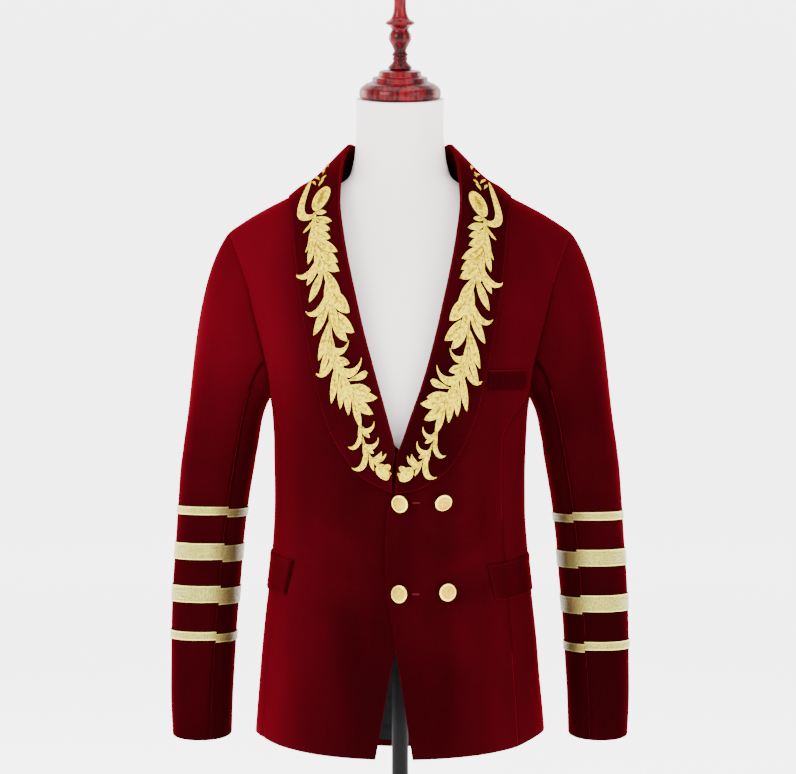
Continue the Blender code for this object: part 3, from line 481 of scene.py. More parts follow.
@dataclass(frozen=True)
class Gilt:
    """Pale gold of the buttons: a grainy crown inside a smooth ivory-gold rim."""

    crown: Colour = (0.86, 0.615, 0.020)
    pits: Colour = (0.42, 0.255, 0.008)
    rim: Colour = (0.95, 0.76, 0.10)

    def material(self) -> bpy.types.Material:
        """Small pits from scattered cells, kept off the rim.

        Returns:
            The material.
        """
        paint = Paint("gilt")
        on_rim = paint.share("edge").fade(0.3, 0.7)
        grains = paint.cells(1150.0).fade(0.15, 0.62)
        cloudy = paint.noise(260.0, 3.0).fade(0.32, 0.66)
        body = paint.mix(grains * 0.55 + cloudy * 0.45, self.crown, self.pits)
        height = grains * (1.0 - on_rim)
        return paint.shade(Base_Color=paint.mix(on_rim, body, self.rim), Metallic=0.75,
                           Specular_IOR_Level=0.1, Roughness=0.44 - on_rim * 0.12,
                           Normal=paint.bump((1.0 - height, 0.65, 0.00035), (cloudy, 0.12, 0.0006)))


@dataclass(frozen=True)
class Lining:
    """Dark green-black satin twill."""

    warp: Colour = (0.0022, 0.0026, 0.0034)
    weft: Colour = (0.0012, 0.0017, 0.0021)
    pitch: float = 0.0009

    def material(self) -> bpy.types.Material:
        """Fine slanting twill lines and a few long wrinkles.

        Returns:
            The material.
        """
        paint = Paint("lining")
        across, along = paint.cloth()
        twill = (across + along).ridges(self.pitch)
        wrinkle = paint.noise(1.0, 2.0, paint.place((22, 22, 46)))
        # The tone follows the wrinkles: painted light on their ridges and painted shade in their troughs,
        # over the twill's own two colours
        colour = paint.mix(twill * 0.6 + wrinkle.fade(0.4, 0.6) * 0.4, self.weft, self.warp)
        return paint.shade(Base_Color=colour, Roughness=0.55, Specular_IOR_Level=0.08,
                           Normal=paint.bump((wrinkle, 0.30, 0.004), (twill, 0.25, 0.00012)))


@dataclass(frozen=True)
class Linen:
    """Off-white jersey stretched over the dress form."""

    yarn: Colour = (0.92, 0.825, 0.815)
    between: Colour = (0.84, 0.735, 0.725)
    wale: float = 0.0013
    course: float = 0.0019

    def material(self) -> bpy.types.Material:
        """Rows of small stitches that follow the form's own map.

        Returns:
            The material.
        """
        paint = Paint("linen")
        around, up = paint.cloth()
        knit = (around.wave(self.wale).absolute() * up.wave(self.course).absolute()).fade(0.0, 0.5)
        cloudy = paint.noise(24.0, 3.0).fade(0.3, 0.7)
        colour = paint.mix(knit * 0.75 + cloudy * 0.25, self.between, self.yarn)
        normal = paint.bump((knit, 0.35, 0.00025), (cloudy, 0.05, 0.002))
        return paint.shade(Base_Color=colour, Roughness=0.88, Specular_IOR_Level=0.25, Sheen_Weight=0.2,
                           Sheen_Roughness=0.5, Normal=normal)


@dataclass(frozen=True)
class Mahogany:
    """Turned hardwood, stained dark red and polished."""

    stain: Colour = (0.150, 0.0030, 0.0075)
    grain: Colour = (0.013, 0.0002, 0.0006)

    def material(self) -> bpy.types.Material:
        """Grain that runs up the turned piece, with fine pores, under a clear coat.

        Returns:
            The material.
        """
        paint = Paint("mahogany")
        fibres = paint.noise(1.0, 4.0, paint.place((240, 240, 26)), 0.6)
        figure = paint.noise(1.0, 2.0, paint.place((46, 46, 12)))
        pores = paint.noise(1.0, 1.0, paint.place((900, 900, 90)))
        share = (fibres * 0.55 + figure * 0.45).fade(0.36, 0.66)
        colour = paint.mix(share, self.grain, self.stain)
        normal = paint.bump((fibres, 0.06, 0.0006), (pores.fade(0.30, 0.45), 0.10, 0.0002))
        return paint.shade(Base_Color=colour, Roughness=0.36 - share * 0.08, Coat_Weight=0.12,
                           Coat_Roughness=0.10, Specular_IOR_Level=0.06, Normal=normal)


@dataclass(frozen=True)
class BlackIron:
    """Cast iron and steel tube under black powder coat."""

    paint_colour: Colour = (0.0022, 0.0022, 0.0025)
    rubbed: Colour = (0.0060, 0.0058, 0.0062)

    def material(self) -> bpy.types.Material:
        """A slight orange peel, rubbed a little lighter in places.

        Returns:
            The material.
        """
        paint = Paint("black_iron")
        peel, rub = paint.noise(520.0, 2.0), paint.noise(17.0, 4.0).fade(0.52, 0.74)
        colour = paint.mix(rub, self.paint_colour, self.rubbed)
        return paint.shade(Base_Color=colour, Roughness=0.52 + rub * 0.16, Specular_IOR_Level=0.12,
                           Normal=paint.bump((peel, 0.16, 0.0005)))


@dataclass(frozen=True)
class SilkThread:
    """Twisted silk of a buttonhole."""

    silk: Colour = (0.110, 0.0018, 0.0055)
    shade: Colour = (0.030, 0.0005, 0.0018)
    pitch: float = 0.0008

    def material(self) -> bpy.types.Material:
        """Stitches side by side along the buttonhole.

        Returns:
            The material.
        """
        paint = Paint("buttonhole_silk")
        stitch = paint.cloth()[1].ridges(self.pitch)
        return paint.shade(Base_Color=paint.mix(stitch, self.shade, self.silk), Roughness=0.7,
                           Specular_IOR_Level=0.1, Normal=paint.bump((stitch, 0.6, 0.0003)))


@dataclass(frozen=True)
class Plaster:
    """The studio's pale floor and wall."""

    tone: Colour = (0.80, 0.80, 0.80)
    low: Colour = (0.788, 0.788, 0.788)
    glow: float = 3.1

    def material(self) -> bpy.types.Material:
        """One matt tone with a faint unevenness, lit from within like a paper light wall.

        Returns:
            The material.
        """
        paint = Paint("studio")
        cloudy = paint.noise(1.6, 3.0).fade(0.3, 0.7)
        colour = paint.mix(cloudy, self.low, self.tone)
        return paint.shade(Base_Color=colour, Roughness=0.95, Specular_IOR_Level=0.0,
                           Emission_Color=(1, 1, 1), Emission_Strength=self.glow)


# Meshes

def put_mesh(name: str, points: np.ndarray, faces: np.ndarray, cloth: np.ndarray | None = None,
             numbers: dict[str, np.ndarray] | None = None,
             caps: Sequence[np.ndarray] = ()) -> bpy.types.Object:
    """Makes a smooth-shaded object from arrays.

    Args:
        name: The piece's name.
        points: Points, one a row.
        faces: Faces of four corners, one a row, turned outwards.
        cloth: The map of the cloth, metres across and along for each point.
        numbers: Numbers stored on the points, by name.
        caps: Faces of many corners that close the ends.

    Returns:
        The object.
    """
    mesh = bpy.data.meshes.new(name)
    mesh.from_pydata(points, [], [*faces.tolist(), *(cap.tolist() for cap in caps)])
    if cloth is not None:
        layer = mesh.uv_layers.new(name="cloth")
        corners = np.concatenate([faces.ravel(), *caps])
        layer.data.foreach_set("uv", cloth[corners].astype(np.float32).ravel())
    for word, values in (numbers or {}).items():
        stored = mesh.attributes.new(word, "FLOAT", "POINT")
        stored.data.foreach_set("value", values.astype(np.float32).ravel())
    mesh.shade_smooth()
    mesh.update()
    thing = bpy.data.objects.new(name, mesh)
    bpy.context.scene.collection.objects.link(thing)
    return thing


def quads(index: np.ndarray) -> np.ndarray:
    """Faces between the neighbours of a grid of point numbers."""
    corners = index[:-1, :-1], index[1:, :-1], index[1:, 1:], index[:-1, 1:]
    return np.stack(corners, axis=-1).reshape(-1, 4)


def numbered(rows: int, columns: int) -> np.ndarray:
    """The numbers of a grid's points."""
    return np.arange(rows * columns).reshape(rows, columns)


def border(index: np.ndarray) -> np.ndarray:
    """The point numbers round the edge of a grid of them."""
    return np.concatenate([index[0], index[1:, -1], index[-1, -2::-1], index[-2:0:-1, 0]])


def reach(points: np.ndarray) -> tuple[np.ndarray, np.ndarray]:
    """Lengths over a grid of points, summed step by step across it and along it."""
    across, along = (np.linalg.norm(np.diff(points, axis=a), axis=-1) for a in (0, 1))
    return (np.concatenate([np.zeros((1, points.shape[1])), np.cumsum(across, axis=0)]),
            np.concatenate([np.zeros((points.shape[0], 1)), np.cumsum(along, axis=1)], axis=1))


def to_edges(points: np.ndarray, edges: str) -> np.ndarray:
    """Distances over a grid of points to the nearest of some of its edges.

    Args:
        points: The grid.
        edges: The edges, of "a" and "b" across the grid, and "c" and "d" along it.

    Returns:
        The distances.
    """
    across, along = reach(points)
    gaps = {"a": across, "b": across[-1:] - across, "c": along, "d": along[:, -1:] - along}
    return np.min(np.stack([gaps[letter] for letter in edges]), axis=0)


@dataclass
class Shell:
    """A thin closed wall on a grid of points, its edges turned over in a half circle.

    The outer side is the grid, the inner side the grid moved in by the wall, and the rim a half circle
    of half the wall about the middle between them, which stays within the grid's own edge.
    """

    points: np.ndarray
    normal: np.ndarray
    wall: Any = 0.002
    rim_steps: int = 4

    def sink(self, edges: str, depth: float = 0.0009, width: float = 0.0032) -> "Shell":
        """Lowers the cloth beside its seams by depth * exp(-(distance / width)^2).

        Args:
            edges: Which edges are seams, in the letters of to_edges.
            depth: How far the cloth dips at the seam, in metres.
            width: How far from the seam the dip reaches.

        Returns:
            The shell itself.
        """
        dip = depth * bell(to_edges(self.points, edges), width)
        self.points = self.points - self.normal * dip[..., None]
        return self

    def build(self, name: str, outside: bpy.types.Material, inside: bpy.types.Material | None = None,
              numbers: dict[str, np.ndarray] | None = None, facing: float = 0.0) -> bpy.types.Object:
        """Makes the wall.

        Args:
            name: The piece's name.
            outside: The finish of the outer side and the rim.
            inside: The finish of the inner side, the same as outside if none is given.
            numbers: Numbers on the grid's points, by name.
            facing: How far from edge "c" the inner side has the outer side's finish.

        Returns:
            The object.
        """
        rows, columns = self.points.shape[:2]
        half = np.broadcast_to(np.asarray(self.wall) / 2, (rows, columns))[..., None]
        over = np.zeros_like(self.points)
        over[0] += unit(self.points[0] - self.points[1])
        over[-1] += unit(self.points[-1] - self.points[-2])
        over[:, 0] += unit(self.points[:, 0] - self.points[:, 1])
        over[:, -1] += unit(self.points[:, -1] - self.points[:, -2])
        middle = self.points - self.normal * half - over * half
        index = numbered(rows, columns)
        ring = border(index)
        flat_middle, flat_half = middle.reshape(-1, 3)[ring], half.reshape(-1, 1)[ring]
        flat_over, flat_normal = over.reshape(-1, 3)[ring], self.normal.reshape(-1, 3)[ring]
        turns = np.linspace(0, math.pi, self.rim_steps + 1)[1:-1]
        rims = [flat_middle + flat_half * (flat_over * math.sin(turn) + flat_normal * math.cos(turn))
                for turn in turns]
        count = rows * columns
        points = np.concatenate([(middle + self.normal * half).reshape(-1, 3),
                                 (middle - self.normal * half).reshape(-1, 3), *rims])
        bends = numbered(len(turns), len(ring)) + 2 * count
        chain = [ring, *bends, ring + count]
        strips = [np.stack([low, high, np.roll(high, -1), np.roll(low, -1)], axis=-1)
                  for low, high in zip(chain[:-1], chain[1:])]
        faces = np.concatenate([quads(index)[:, ::-1], quads(index) + count, *strips])
        turn = np.cross(np.gradient(self.points, axis=0), np.gradient(self.points, axis=1))
        if (turn * self.normal).sum() > 0:
            faces = faces[:, ::-1]
        across, along = reach(self.points)
        cloth = np.stack([across, along], axis=-1).reshape(-1, 2)
        spread = np.concatenate([np.arange(count), np.arange(count), np.tile(ring, len(turns))])
        values = {word: np.broadcast_to(grid, (rows, columns)).reshape(-1)[spread]
                  for word, grid in (numbers or {}).items()}
        thing = put_mesh(name, points, faces, cloth[spread], values)
        thing.data.materials.append(outside)
        thing.data.materials.append(inside or outside)
        lined = np.zeros(len(faces), dtype=np.int32)
        lined[(rows - 1) * (columns - 1):2 * (rows - 1) * (columns - 1)] = along[:-1, 1:].ravel() > facing
        thing.data.polygons.foreach_set("material_index", lined)
        return thing


def ringed(name: str, rings: np.ndarray, finish: bpy.types.Material,
           numbers: dict[str, np.ndarray] | None = None) -> bpy.types.Object:
    """A closed solid through rings of points, each anticlockwise seen from above, bottom to top.

    Args:
        name: The piece's name.
        rings: A grid of points, one ring a row.
        finish: Its material.
        numbers: Numbers for each ring, by name.

    Returns:
        The object.
    """
    rows, columns = rings.shape[:2]
    index = numbered(rows, columns)
    around = np.concatenate([index, index[:, :1]], axis=1)
    size = np.linalg.norm(np.diff(rings, axis=1), axis=-1).sum(axis=1).max() * columns / (columns - 1)
    up = walked(rings[:, 0])
    cloth = np.stack(np.broadcast_arrays(np.linspace(0, size, columns), up[:, None]), axis=-1)
    values = {word: np.repeat(row, columns) for word, row in (numbers or {}).items()}
    thing = put_mesh(name, rings.reshape(-1, 3), quads(around)[:, ::-1], cloth.reshape(-1, 2), values,
                     caps=(index[0, ::-1], index[-1]))
    thing.data.materials.append(finish)
    return thing


def turned(name: str, profile: np.ndarray, finish: bpy.types.Material, place: np.ndarray | None = None,
           segments: int = 96, numbers: dict[str, np.ndarray] | None = None) -> bpy.types.Object:
    """A solid of revolution: each row of the profile is a ring of that radius at that height.

    Args:
        name: The piece's name.
        profile: Rows of radius and height from the bottom to the top.
        finish: Its material.
        place: A 4 by 4 array that carries it to its place.
        segments: Points round a ring.
        numbers: Numbers for each row of the profile, by name.

    Returns:
        The object.
    """
    angle = np.linspace(0, 2 * math.pi, segments, endpoint=False)
    radius, height = profile[:, 0, None], profile[:, 1, None]
    rings = np.stack([radius * np.cos(angle), radius * np.sin(angle), height + 0 * angle], axis=-1)
    if place is not None:
        rings = rings @ place[:3, :3].T + place[:3, 3]
    return ringed(name, rings, finish, numbers)


def rounded(profile: np.ndarray, steps: int = 5, round_by: float = 0.28) -> np.ndarray:
    """Softens the corners of a turned profile: each corner becomes a curve between points near it.

    The curve is (1 - t)^2 before + 2 t (1 - t) corner + t^2 after.

    Args:
        profile: Rows of radius and height.
        steps: Points on each corner.
        round_by: Share of each side that the curve takes.

    Returns:
        The finer profile.
    """
    t = np.linspace(0, 1, steps)[None, :, None]
    corner = profile[1:-1, None]
    before = corner + (profile[:-2, None] - corner) * round_by
    after = corner + (profile[2:, None] - corner) * round_by
    curves = (1 - t) ** 2 * before + 2 * t * (1 - t) * corner + t**2 * after
    return np.concatenate([profile[:1], curves.reshape(-1, 2), profile[-1:]])


def dress(thing: bpy.types.Object, node: str) -> bpy.types.Object:
    """Lets a piece stand for a node of the frame and gives it back."""
    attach(thing, "root")
    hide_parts(node)
    return thing


# The trunk

LAY = 0.0007  # gap under a piece that lies on a panel
SEAM = 0.00002  # half of the gap that two pieces leave at a seam
STEP = 0.0042  # spacing of the cloth's points


def shares(length: float, step: float = STEP, seams: bool = True) -> np.ndarray:
    """Shares across a piece of cloth, a step apart and closer beside its seams.

    Args:
        length: The piece's width in metres.
        step: Spacing in the open.
        seams: Whether both edges are seams, drawn in by the seam's half gap.

    Returns:
        Rising shares from 0 to 1.
    """
    close = np.array([0, 0.0009, 0.0020, 0.0033, 0.0050, 0.0072]) / length
    inside = np.linspace(close[-1], 1 - close[-1], max(2, int((length - 0.0144) / step)))
    rows = np.concatenate([close[:-1], inside, 1 - close[:-1][::-1]])
    gap = SEAM / length
    return gap + (1 - 2 * gap) * rows if seams else rows


def folds_at(rows: np.ndarray, across: np.ndarray, up: np.ndarray) -> np.ndarray:
    """Soft ridges and troughs, the sum of depth * exp(-2 (run / length)^2 - (off / width)^2) over the rows.

    A ridge bends as it runs: off is measured from a parabola whose middle drops by a quarter of the width.

    Args:
        rows: The folds, as fold_rows gives them.
        across: Places across the cloth.
        up: Places up the cloth.

    Returns:
        Heights over the plain surface.
    """
    total = np.zeros(np.broadcast(across, up).shape)
    for place_across, place_up, slope, length, width, depth in rows:
        turn = math.radians(slope)
        run = (across - place_across) * math.cos(turn) + (up - place_up) * math.sin(turn)
        off = (up - place_up) * math.cos(turn) - (across - place_across) * math.sin(turn)
        bow = 0.25 * width * (run / length) ** 2
        total = total + depth * np.exp(-2 * (run / length) ** 2 - ((off + bow) / width) ** 2)
    return total


@dataclass
class Trunk:
    """The body of the jacket: an oval section at each height, rounded over to the shoulder seam."""

    wall: float = 0.002
    power: float = 2.4
    shoulder_y: float = 0.008
    front_roll: float = 0.19
    back_roll: float = 0.16
    armhole_foot: float = 0.706
    armpit: float = 0.690
    swing: tuple[float, float] = (0.640, 0.706)
    lap_lift: float = 0.0036
    lap_top: tuple[float, float] = (0.68, 0.74)
    lap_fall: tuple[float, float] = (0.012, 0.055)
    opened_over: tuple[float, float] = (0.600, 0.648)
    shifted_over: tuple[float, float] = (0.62, 0.80)
    folds_end: tuple[float, float] = (0.62, 0.80)
    relief_ends: tuple[float, float] = (0.86, 0.97)
    facing: float = 0.024
    side_width: float = 0.09
    lining_rise: float = 0.009
    lining_top: float = 0.452
    side_rise: dict[Side, float] = field(default_factory=lambda: {Side.LEFT: 0.013, Side.RIGHT: 0.006})
    neck_inset: float = 0.007
    neck_hole: float = 0.070
    shoulder_gap: float = 0.0016
    # Height, half width, depth of the front, depth of the back
    sections: np.ndarray = sized(
        (0.200, 0.1885, 0.127, 0.130), (0.270, 0.1844, 0.125, 0.129), (0.360, 0.1773, 0.121, 0.124),
        (0.460, 0.1664, 0.115, 0.112), (0.560, 0.1600, 0.111, 0.101), (0.650, 0.1616, 0.118, 0.108),
        (0.690, 0.1660, 0.123, 0.113), (0.706, 0.1710, 0.124, 0.114), (0.763, 0.1930, 0.125, 0.117),
        (0.800, 0.2050, 0.124, 0.118), (0.870, 0.2280, 0.121, 0.118), (0.920, 0.2400, 0.118, 0.115),
        (1.000, 0.2550, 0.112, 0.110))
    # Distance out, height
    shoulder: np.ndarray = sized(
        (0.00, 0.986), (0.06, 0.984), (0.08, 0.977), (0.144, 0.9476), (0.19, 0.923), (0.219, 0.904),
        (0.26, 0.874))
    # Height, distance out
    armhole: np.ndarray = sized(
        (0.690, 0.1650), (0.706, 0.1655), (0.763, 0.1765), (0.800, 0.186), (0.839, 0.1955), (0.871, 0.2065),
        (0.902, 0.219))
    # Distance out, height at the front, height at the back
    hem: np.ndarray = sized(
        (-0.04, 0.246, 0.227), (0.02, 0.246, 0.227), (0.07, 0.248, 0.232), (0.115, 0.252, 0.241),
        (0.155, 0.259, 0.252), (0.185, 0.269, 0.269))
    # Height, distance out of the opening under the collar
    opening: np.ndarray = sized(
        (0.620, 0.000), (0.778, 0.0458), (0.825, 0.056), (0.864, 0.0648), (0.904, 0.0713), (0.948, 0.075),
        (0.984, 0.072))
    opening_shift: float = -0.005
    # Height, distance of the lapping edge to the panel's own side
    lapping: dict[Side, np.ndarray] = field(default_factory=lambda: {
        Side.LEFT: table((0.246, 0.0154), (0.376, -0.0048), (0.414, -0.0111), (0.445, -0.016),
                         (0.535, -0.0173), (0.552, -0.0158), (0.572, -0.0072), (0.605, -0.0042)),
        Side.RIGHT: table((0.246, 0.0305), (0.376, 0.0066), (0.450, -0.010), (0.540, -0.030), (0.580, -0.030),
                          (0.605, -0.020))})
    seam_share: dict[tuple[Side, Face], float] = field(default_factory=lambda: {
        (Side.LEFT, Face.FRONT): 0.80, (Side.RIGHT, Face.FRONT): 0.935,
        (Side.LEFT, Face.BACK): 0.86, (Side.RIGHT, Face.BACK): 0.86})
    # Distance along X, painted light on the pile, brighter at the wearer's right, where the key light falls
    leaning: np.ndarray = sized(
        (-0.19, 0.58), (-0.16, 0.46), (-0.125, 0.03), (-0.085, -0.17), (0.03, -0.22), (0.10, -0.12),
        (0.15, 0.02), (0.19, 0.12))
    # Painted light over the shoulders and on the folds' ridges, painted shade in the folds' troughs, and the
    # width and strength of painted shade by the seams
    shoulder_lean: float = 0.06
    shoulder_over: tuple[float, float] = (0.74, 0.90)
    fold_lean: float = 34.0
    seam_shade: tuple[float, float] = (0.0026, -0.12)
    side_folds: np.ndarray = field(default_factory=lambda: fold_rows(
        (31.5, 610, 78, 55, 10, 1.2), (55.8, 560, 70, 50, 10, -1.2), (45, 330, 84, 70, 13, -1.2),
        (27, 420, 86, 55, 11, 1.1)))
    # Folds by their distance out and height
    folds: dict[tuple[Side, Face], np.ndarray] = field(default_factory=lambda: {
        (Side.LEFT, Face.FRONT): fold_rows(
            (85, 492, 28, 75, 13, 3), (95, 455, 20, 60, 12, -2.2), (80, 400, -62, 75, 20, 1.8)),
        (Side.RIGHT, Face.FRONT): fold_rows(
            (70, 515, 38, 85, 16, 2.6), (85, 430, 12, 55, 14, -2), (100, 350, 80, 80, 22, 2)),
        (Side.LEFT, Face.BACK): fold_rows(
            (85, 560, 25, 70, 14, 2.8), (120, 760, 70, 60, 13, -2.2), (90, 350, 84, 85, 22, 2.4)),
        (Side.RIGHT, Face.BACK): fold_rows(
            (80, 545, 32, 65, 13, 2.6), (118, 752, 66, 64, 14, -2.4), (100, 340, 82, 75, 20, 2.2))})
    # Finer creases
    creases: dict[tuple[Side, Face], np.ndarray] = field(default_factory=lambda: {
        (Side.LEFT, Face.FRONT): fold_rows(
            (30, 536, -36, 30, 6, 1), (36, 520, -58, 36, 7, -0.8), (80, 545, 24, 34, 6, 1.1),
            (84, 474, 14, 40, 6, -0.9), (32, 430, -70, 44, 8, -1), (94, 432, -18, 32, 7, 0.8),
            (60, 335, 86, 85, 13, -1.2), (122, 315, 80, 60, 14, 1.3), (132, 600, 62, 48, 9, 1.1),
            (150, 850, 66, 50, 11, -0.9), (172, 800, 74, 45, 8, -1.2)),
        (Side.RIGHT, Face.FRONT): fold_rows(
            (40, 490, 30, 46, 8, -1.1), (60, 462, 20, 40, 7, 1), (95, 548, 30, 46, 9, -1),
            (118, 500, 42, 34, 7, 1), (56, 400, 74, 60, 12, -1.2), (74, 300, 86, 66, 13, 1.2),
            (134, 330, 80, 60, 12, -1.2), (128, 625, 66, 46, 9, 1.2), (148, 842, 64, 52, 12, -1),
            (170, 790, 76, 44, 8, -1.1)),
        (Side.LEFT, Face.BACK): fold_rows(
            (45, 585, 14, 50, 9, -1.3), (70, 520, 18, 45, 8, -1.1), (105, 600, 40, 44, 9, 1.2),
            (60, 640, 30, 40, 8, 0.9), (135, 700, 62, 50, 9, 1.4), (150, 820, 72, 55, 10, -1.3),
            (50, 890, 8, 60, 13, 1), (105, 880, -24, 50, 12, -1), (48, 400, 80, 70, 12, -1.4),
            (118, 420, 74, 55, 11, -1.3), (140, 310, 86, 55, 12, 1.4)),
        (Side.RIGHT, Face.BACK): fold_rows(
            (50, 575, 18, 46, 9, -1.2), (62, 505, 12, 42, 8, -1.2), (110, 590, 46, 46, 9, 1.3),
            (52, 650, 22, 38, 8, 1), (132, 690, 58, 54, 10, 1.3), (152, 828, 70, 50, 10, -1.2),
            (58, 880, 4, 55, 12, 1), (98, 872, -30, 45, 11, -0.9), (56, 380, 84, 75, 13, -1.3),
            (124, 400, 78, 50, 11, -1.2), (136, 300, 82, 60, 12, 1.3))})

    def depth(self, out: np.ndarray, z: np.ndarray, face: Face) -> np.ndarray:
        """How far the oval section reaches: depth * (1 - (out / half width)^power)^(1 / power)."""
        share = np.clip(np.abs(out) / smooth(self.sections, z, 1), 0, 1)
        full = smooth(self.sections, z, 2 if face is Face.FRONT else 3)
        return full * np.maximum(1 - share**self.power, 0) ** (1 / self.power)

    def relief(self, out: np.ndarray, z: np.ndarray, side: Side, face: Face) -> np.ndarray:
        """Heights of the folds and creases, which fade towards the side seams and the armhole."""
        coarse = folds_at(self.folds[side, face], out, z)
        fine = folds_at(self.creases[side, face], out, z)
        share = np.abs(out) / smooth(self.sections, z, 1)
        to_edge = np.abs(out) / self.outer_edge(z, side, face)
        return (coarse * (1 - ramp(share, *self.folds_end)) + fine) * (1 - ramp(to_edge, *self.relief_ends))

    def point(self, out: Any, level: np.ndarray, side: Side, face: Face, relief: bool = True) -> np.ndarray:
        """A point of the trunk.

        The level runs 0 to 1 straight up from the hem, and from 1 to 2 the depth follows a quarter of an
        ellipse over to the shoulder seam.

        Args:
            out: Distance out from the middle line to the panel's own side.
            level: Level from the hem to the shoulder seam.
            side: The wearer's side.
            face: Front or back.
            relief: Whether folds and creases are on it.

        Returns:
            Points in metres.
        """
        out = np.asarray(out, float)
        roll = self.roll(face)
        top = smooth(self.shoulder, np.abs(out))
        hem = self.hem_at(out, face)
        turn = np.clip(level - 1, 0, 1) * math.pi / 2
        z = np.where(level < 1, hem + level * (top - roll - hem), top - roll * (1 - np.sin(turn)))
        reach_out = self.depth(out, z, face)
        if relief:
            reach_out = reach_out + self.relief(out, z, side, face)
        y = self.shoulder_y + (face.value * reach_out - self.shoulder_y) * np.cos(turn)
        return np.stack([side.value * out, np.broadcast_to(y, out.shape), z], axis=-1)

    def roll(self, face: Face) -> float:
        """The height over which a face rounds off to the shoulder seam."""
        return self.front_roll if face is Face.FRONT else self.back_roll

    def hem_at(self, out: Any, face: Face) -> np.ndarray:
        """The hem's height at a distance out."""
        return smooth(self.hem, out, 1 if face is Face.FRONT else 2)

    def edge(self, level: Any, side: Side, face: Face,
             distance_at: Callable[[np.ndarray], np.ndarray]) -> np.ndarray:
        """Where a level meets an edge that is given as a distance for each height, by 30 averaged steps."""
        level = np.asarray(level, float)
        out = np.full(level.shape, 0.1)
        for _ in range(30):
            out = 0.5 * out + 0.5 * distance_at(self.point(out, level, side, face, relief=False)[..., 2])
        return out

    def armhole_out(self, z: np.ndarray) -> np.ndarray:
        """The armhole's distance out at a height."""
        return smooth(self.armhole, np.clip(z, self.armhole[0, 0], self.armhole[-1, 0]))

    def outer_edge(self, z: np.ndarray, side: Side, face: Face) -> np.ndarray:
        """The side seam at a share of the half width, which swings out to the armhole."""
        plain = self.seam_share[side, face] * smooth(self.sections, z, 1)
        swung = plain + (self.armhole_out(z) - plain) * ramp(z, *self.swing)
        return np.where(z < self.armhole_foot, swung, self.armhole_out(z))

    def inner_edge(self, z: np.ndarray, side: Side) -> np.ndarray:
        """A front's own edge: the opening under the collar, then the edge that laps over or under."""
        rows = self.lapping[side]
        closed = smooth(rows, np.minimum(z, rows[-1, 0]))
        shift = self.opening_shift * side.value * (1 - ramp(z, *self.shifted_over))
        opened = smooth(self.opening, z) + shift + self.neck_inset
        return closed + (opened - closed) * ramp(z, *self.opened_over)

    def front_lift(self, out: np.ndarray, z: np.ndarray, side: Side) -> np.ndarray:
        """How far the left front is raised where it laps over the right one."""
        rows = self.lapping[Side.RIGHT]
        under = -smooth(rows, np.clip(z, rows[0, 0], rows[-1, 0]))
        fall = 1 - ramp(out - under, *self.lap_fall)
        return (side is Side.LEFT) * self.lap_lift * fall * (1 - ramp(z, *self.lap_top))

    def meet(self, face: Face) -> float:
        """The level at which a panel's side seam ends at the armhole's foot."""
        hem_z = float(self.hem_at(0.16, face))
        out = float(self.armhole_out(np.float64(self.armhole_foot)))
        return (self.armhole_foot - hem_z) / (float(smooth(self.shoulder, out)) - self.roll(face) - hem_z)

    def front(self, u: np.ndarray, level: np.ndarray, side: Side) -> np.ndarray:
        """A front: u runs 0 to 1 from its own edge to the side seam or armhole."""
        inner = self.edge(level, side, Face.FRONT, lambda z: self.inner_edge(z, side))
        outer = self.edge(level, side, Face.FRONT, lambda z: self.outer_edge(z, side, Face.FRONT))
        out = inner + (outer - inner) * u
        point = self.point(out, level, side, Face.FRONT)
        point[..., 1] -= self.front_lift(out, point[..., 2], side)
        return point

    def back(self, u: np.ndarray, level: np.ndarray, side: Side) -> np.ndarray:
        """A back: u runs 0 to 1 from the centre seam, and the neckline is an arc about the neck."""
        out = self.edge(level, side, Face.BACK, lambda z: self.outer_edge(z, side, Face.BACK)) * u
        neck_y = np.sqrt(np.maximum(self.neck_hole**2 - out**2, 0))
        depth = smooth(self.sections, 0.97, 3) - self.shoulder_y
        top = np.arccos(np.clip((neck_y - self.shoulder_y) / depth, 0, 1)) / (math.pi / 2)
        return self.point(out, np.where(level > 1, 1 + (level - 1) * top, level), side, Face.BACK)

    def ring(self, angle: np.ndarray, z: np.ndarray, side: Side) -> np.ndarray:
        """A point of the section: half width * cos^(2 / power) and depth * sin^(2 / power) of the angle."""
        width = smooth(self.sections, z, 1)
        depth = np.where(angle < 0, smooth(self.sections, z, 2), smooth(self.sections, z, 3))
        x, y = width * squarer(np.cos(angle), self.power), depth * squarer(np.sin(angle), self.power)
        return np.stack([side.value * x, y, np.broadcast_to(z, np.shape(x))], axis=-1)

    def ring_angle(self, out: np.ndarray, z: np.ndarray, face: Face) -> np.ndarray:
        """The angle of the section's point at a distance out."""
        share = np.clip(np.abs(out) / smooth(self.sections, z, 1), 0, 1)
        return face.value * np.arccos(share ** (self.power / 2))

    def side_panel(self, u: np.ndarray, level: np.ndarray, side: Side) -> np.ndarray:
        """A side: u runs from the front's seam to the back's, and the top dips to the armpit."""
        ends = []
        front_meet = self.meet(Face.FRONT)
        for face, own in ((Face.FRONT, level), (Face.BACK, level * self.meet(Face.BACK) / front_meet)):
            out = self.edge(own, side, face, lambda z, face=face: self.outer_edge(z, side, face))
            ends.append((out, self.point(out, own, side, face, relief=False)[..., 2]))
        (front_out, front_z), (back_out, back_z) = ends
        start = self.ring_angle(front_out, front_z, Face.FRONT)
        end = self.ring_angle(back_out, back_z, Face.BACK)
        z = front_z + (back_z - front_z) * u
        dip = (self.armhole_foot - self.armpit) * hump(u) * ramp(level, 0.75 * front_meet, front_meet)
        rise = self.side_rise[side] * hump(u) * (1 - ramp(level, 0, 0.5 * front_meet))
        point = self.ring(start + (end - start) * u, z - dip + rise, side)
        fold = folds_at(self.side_folds, u * self.side_width, z) * hump(u)
        return point + from_axis(point) * fold[..., None]

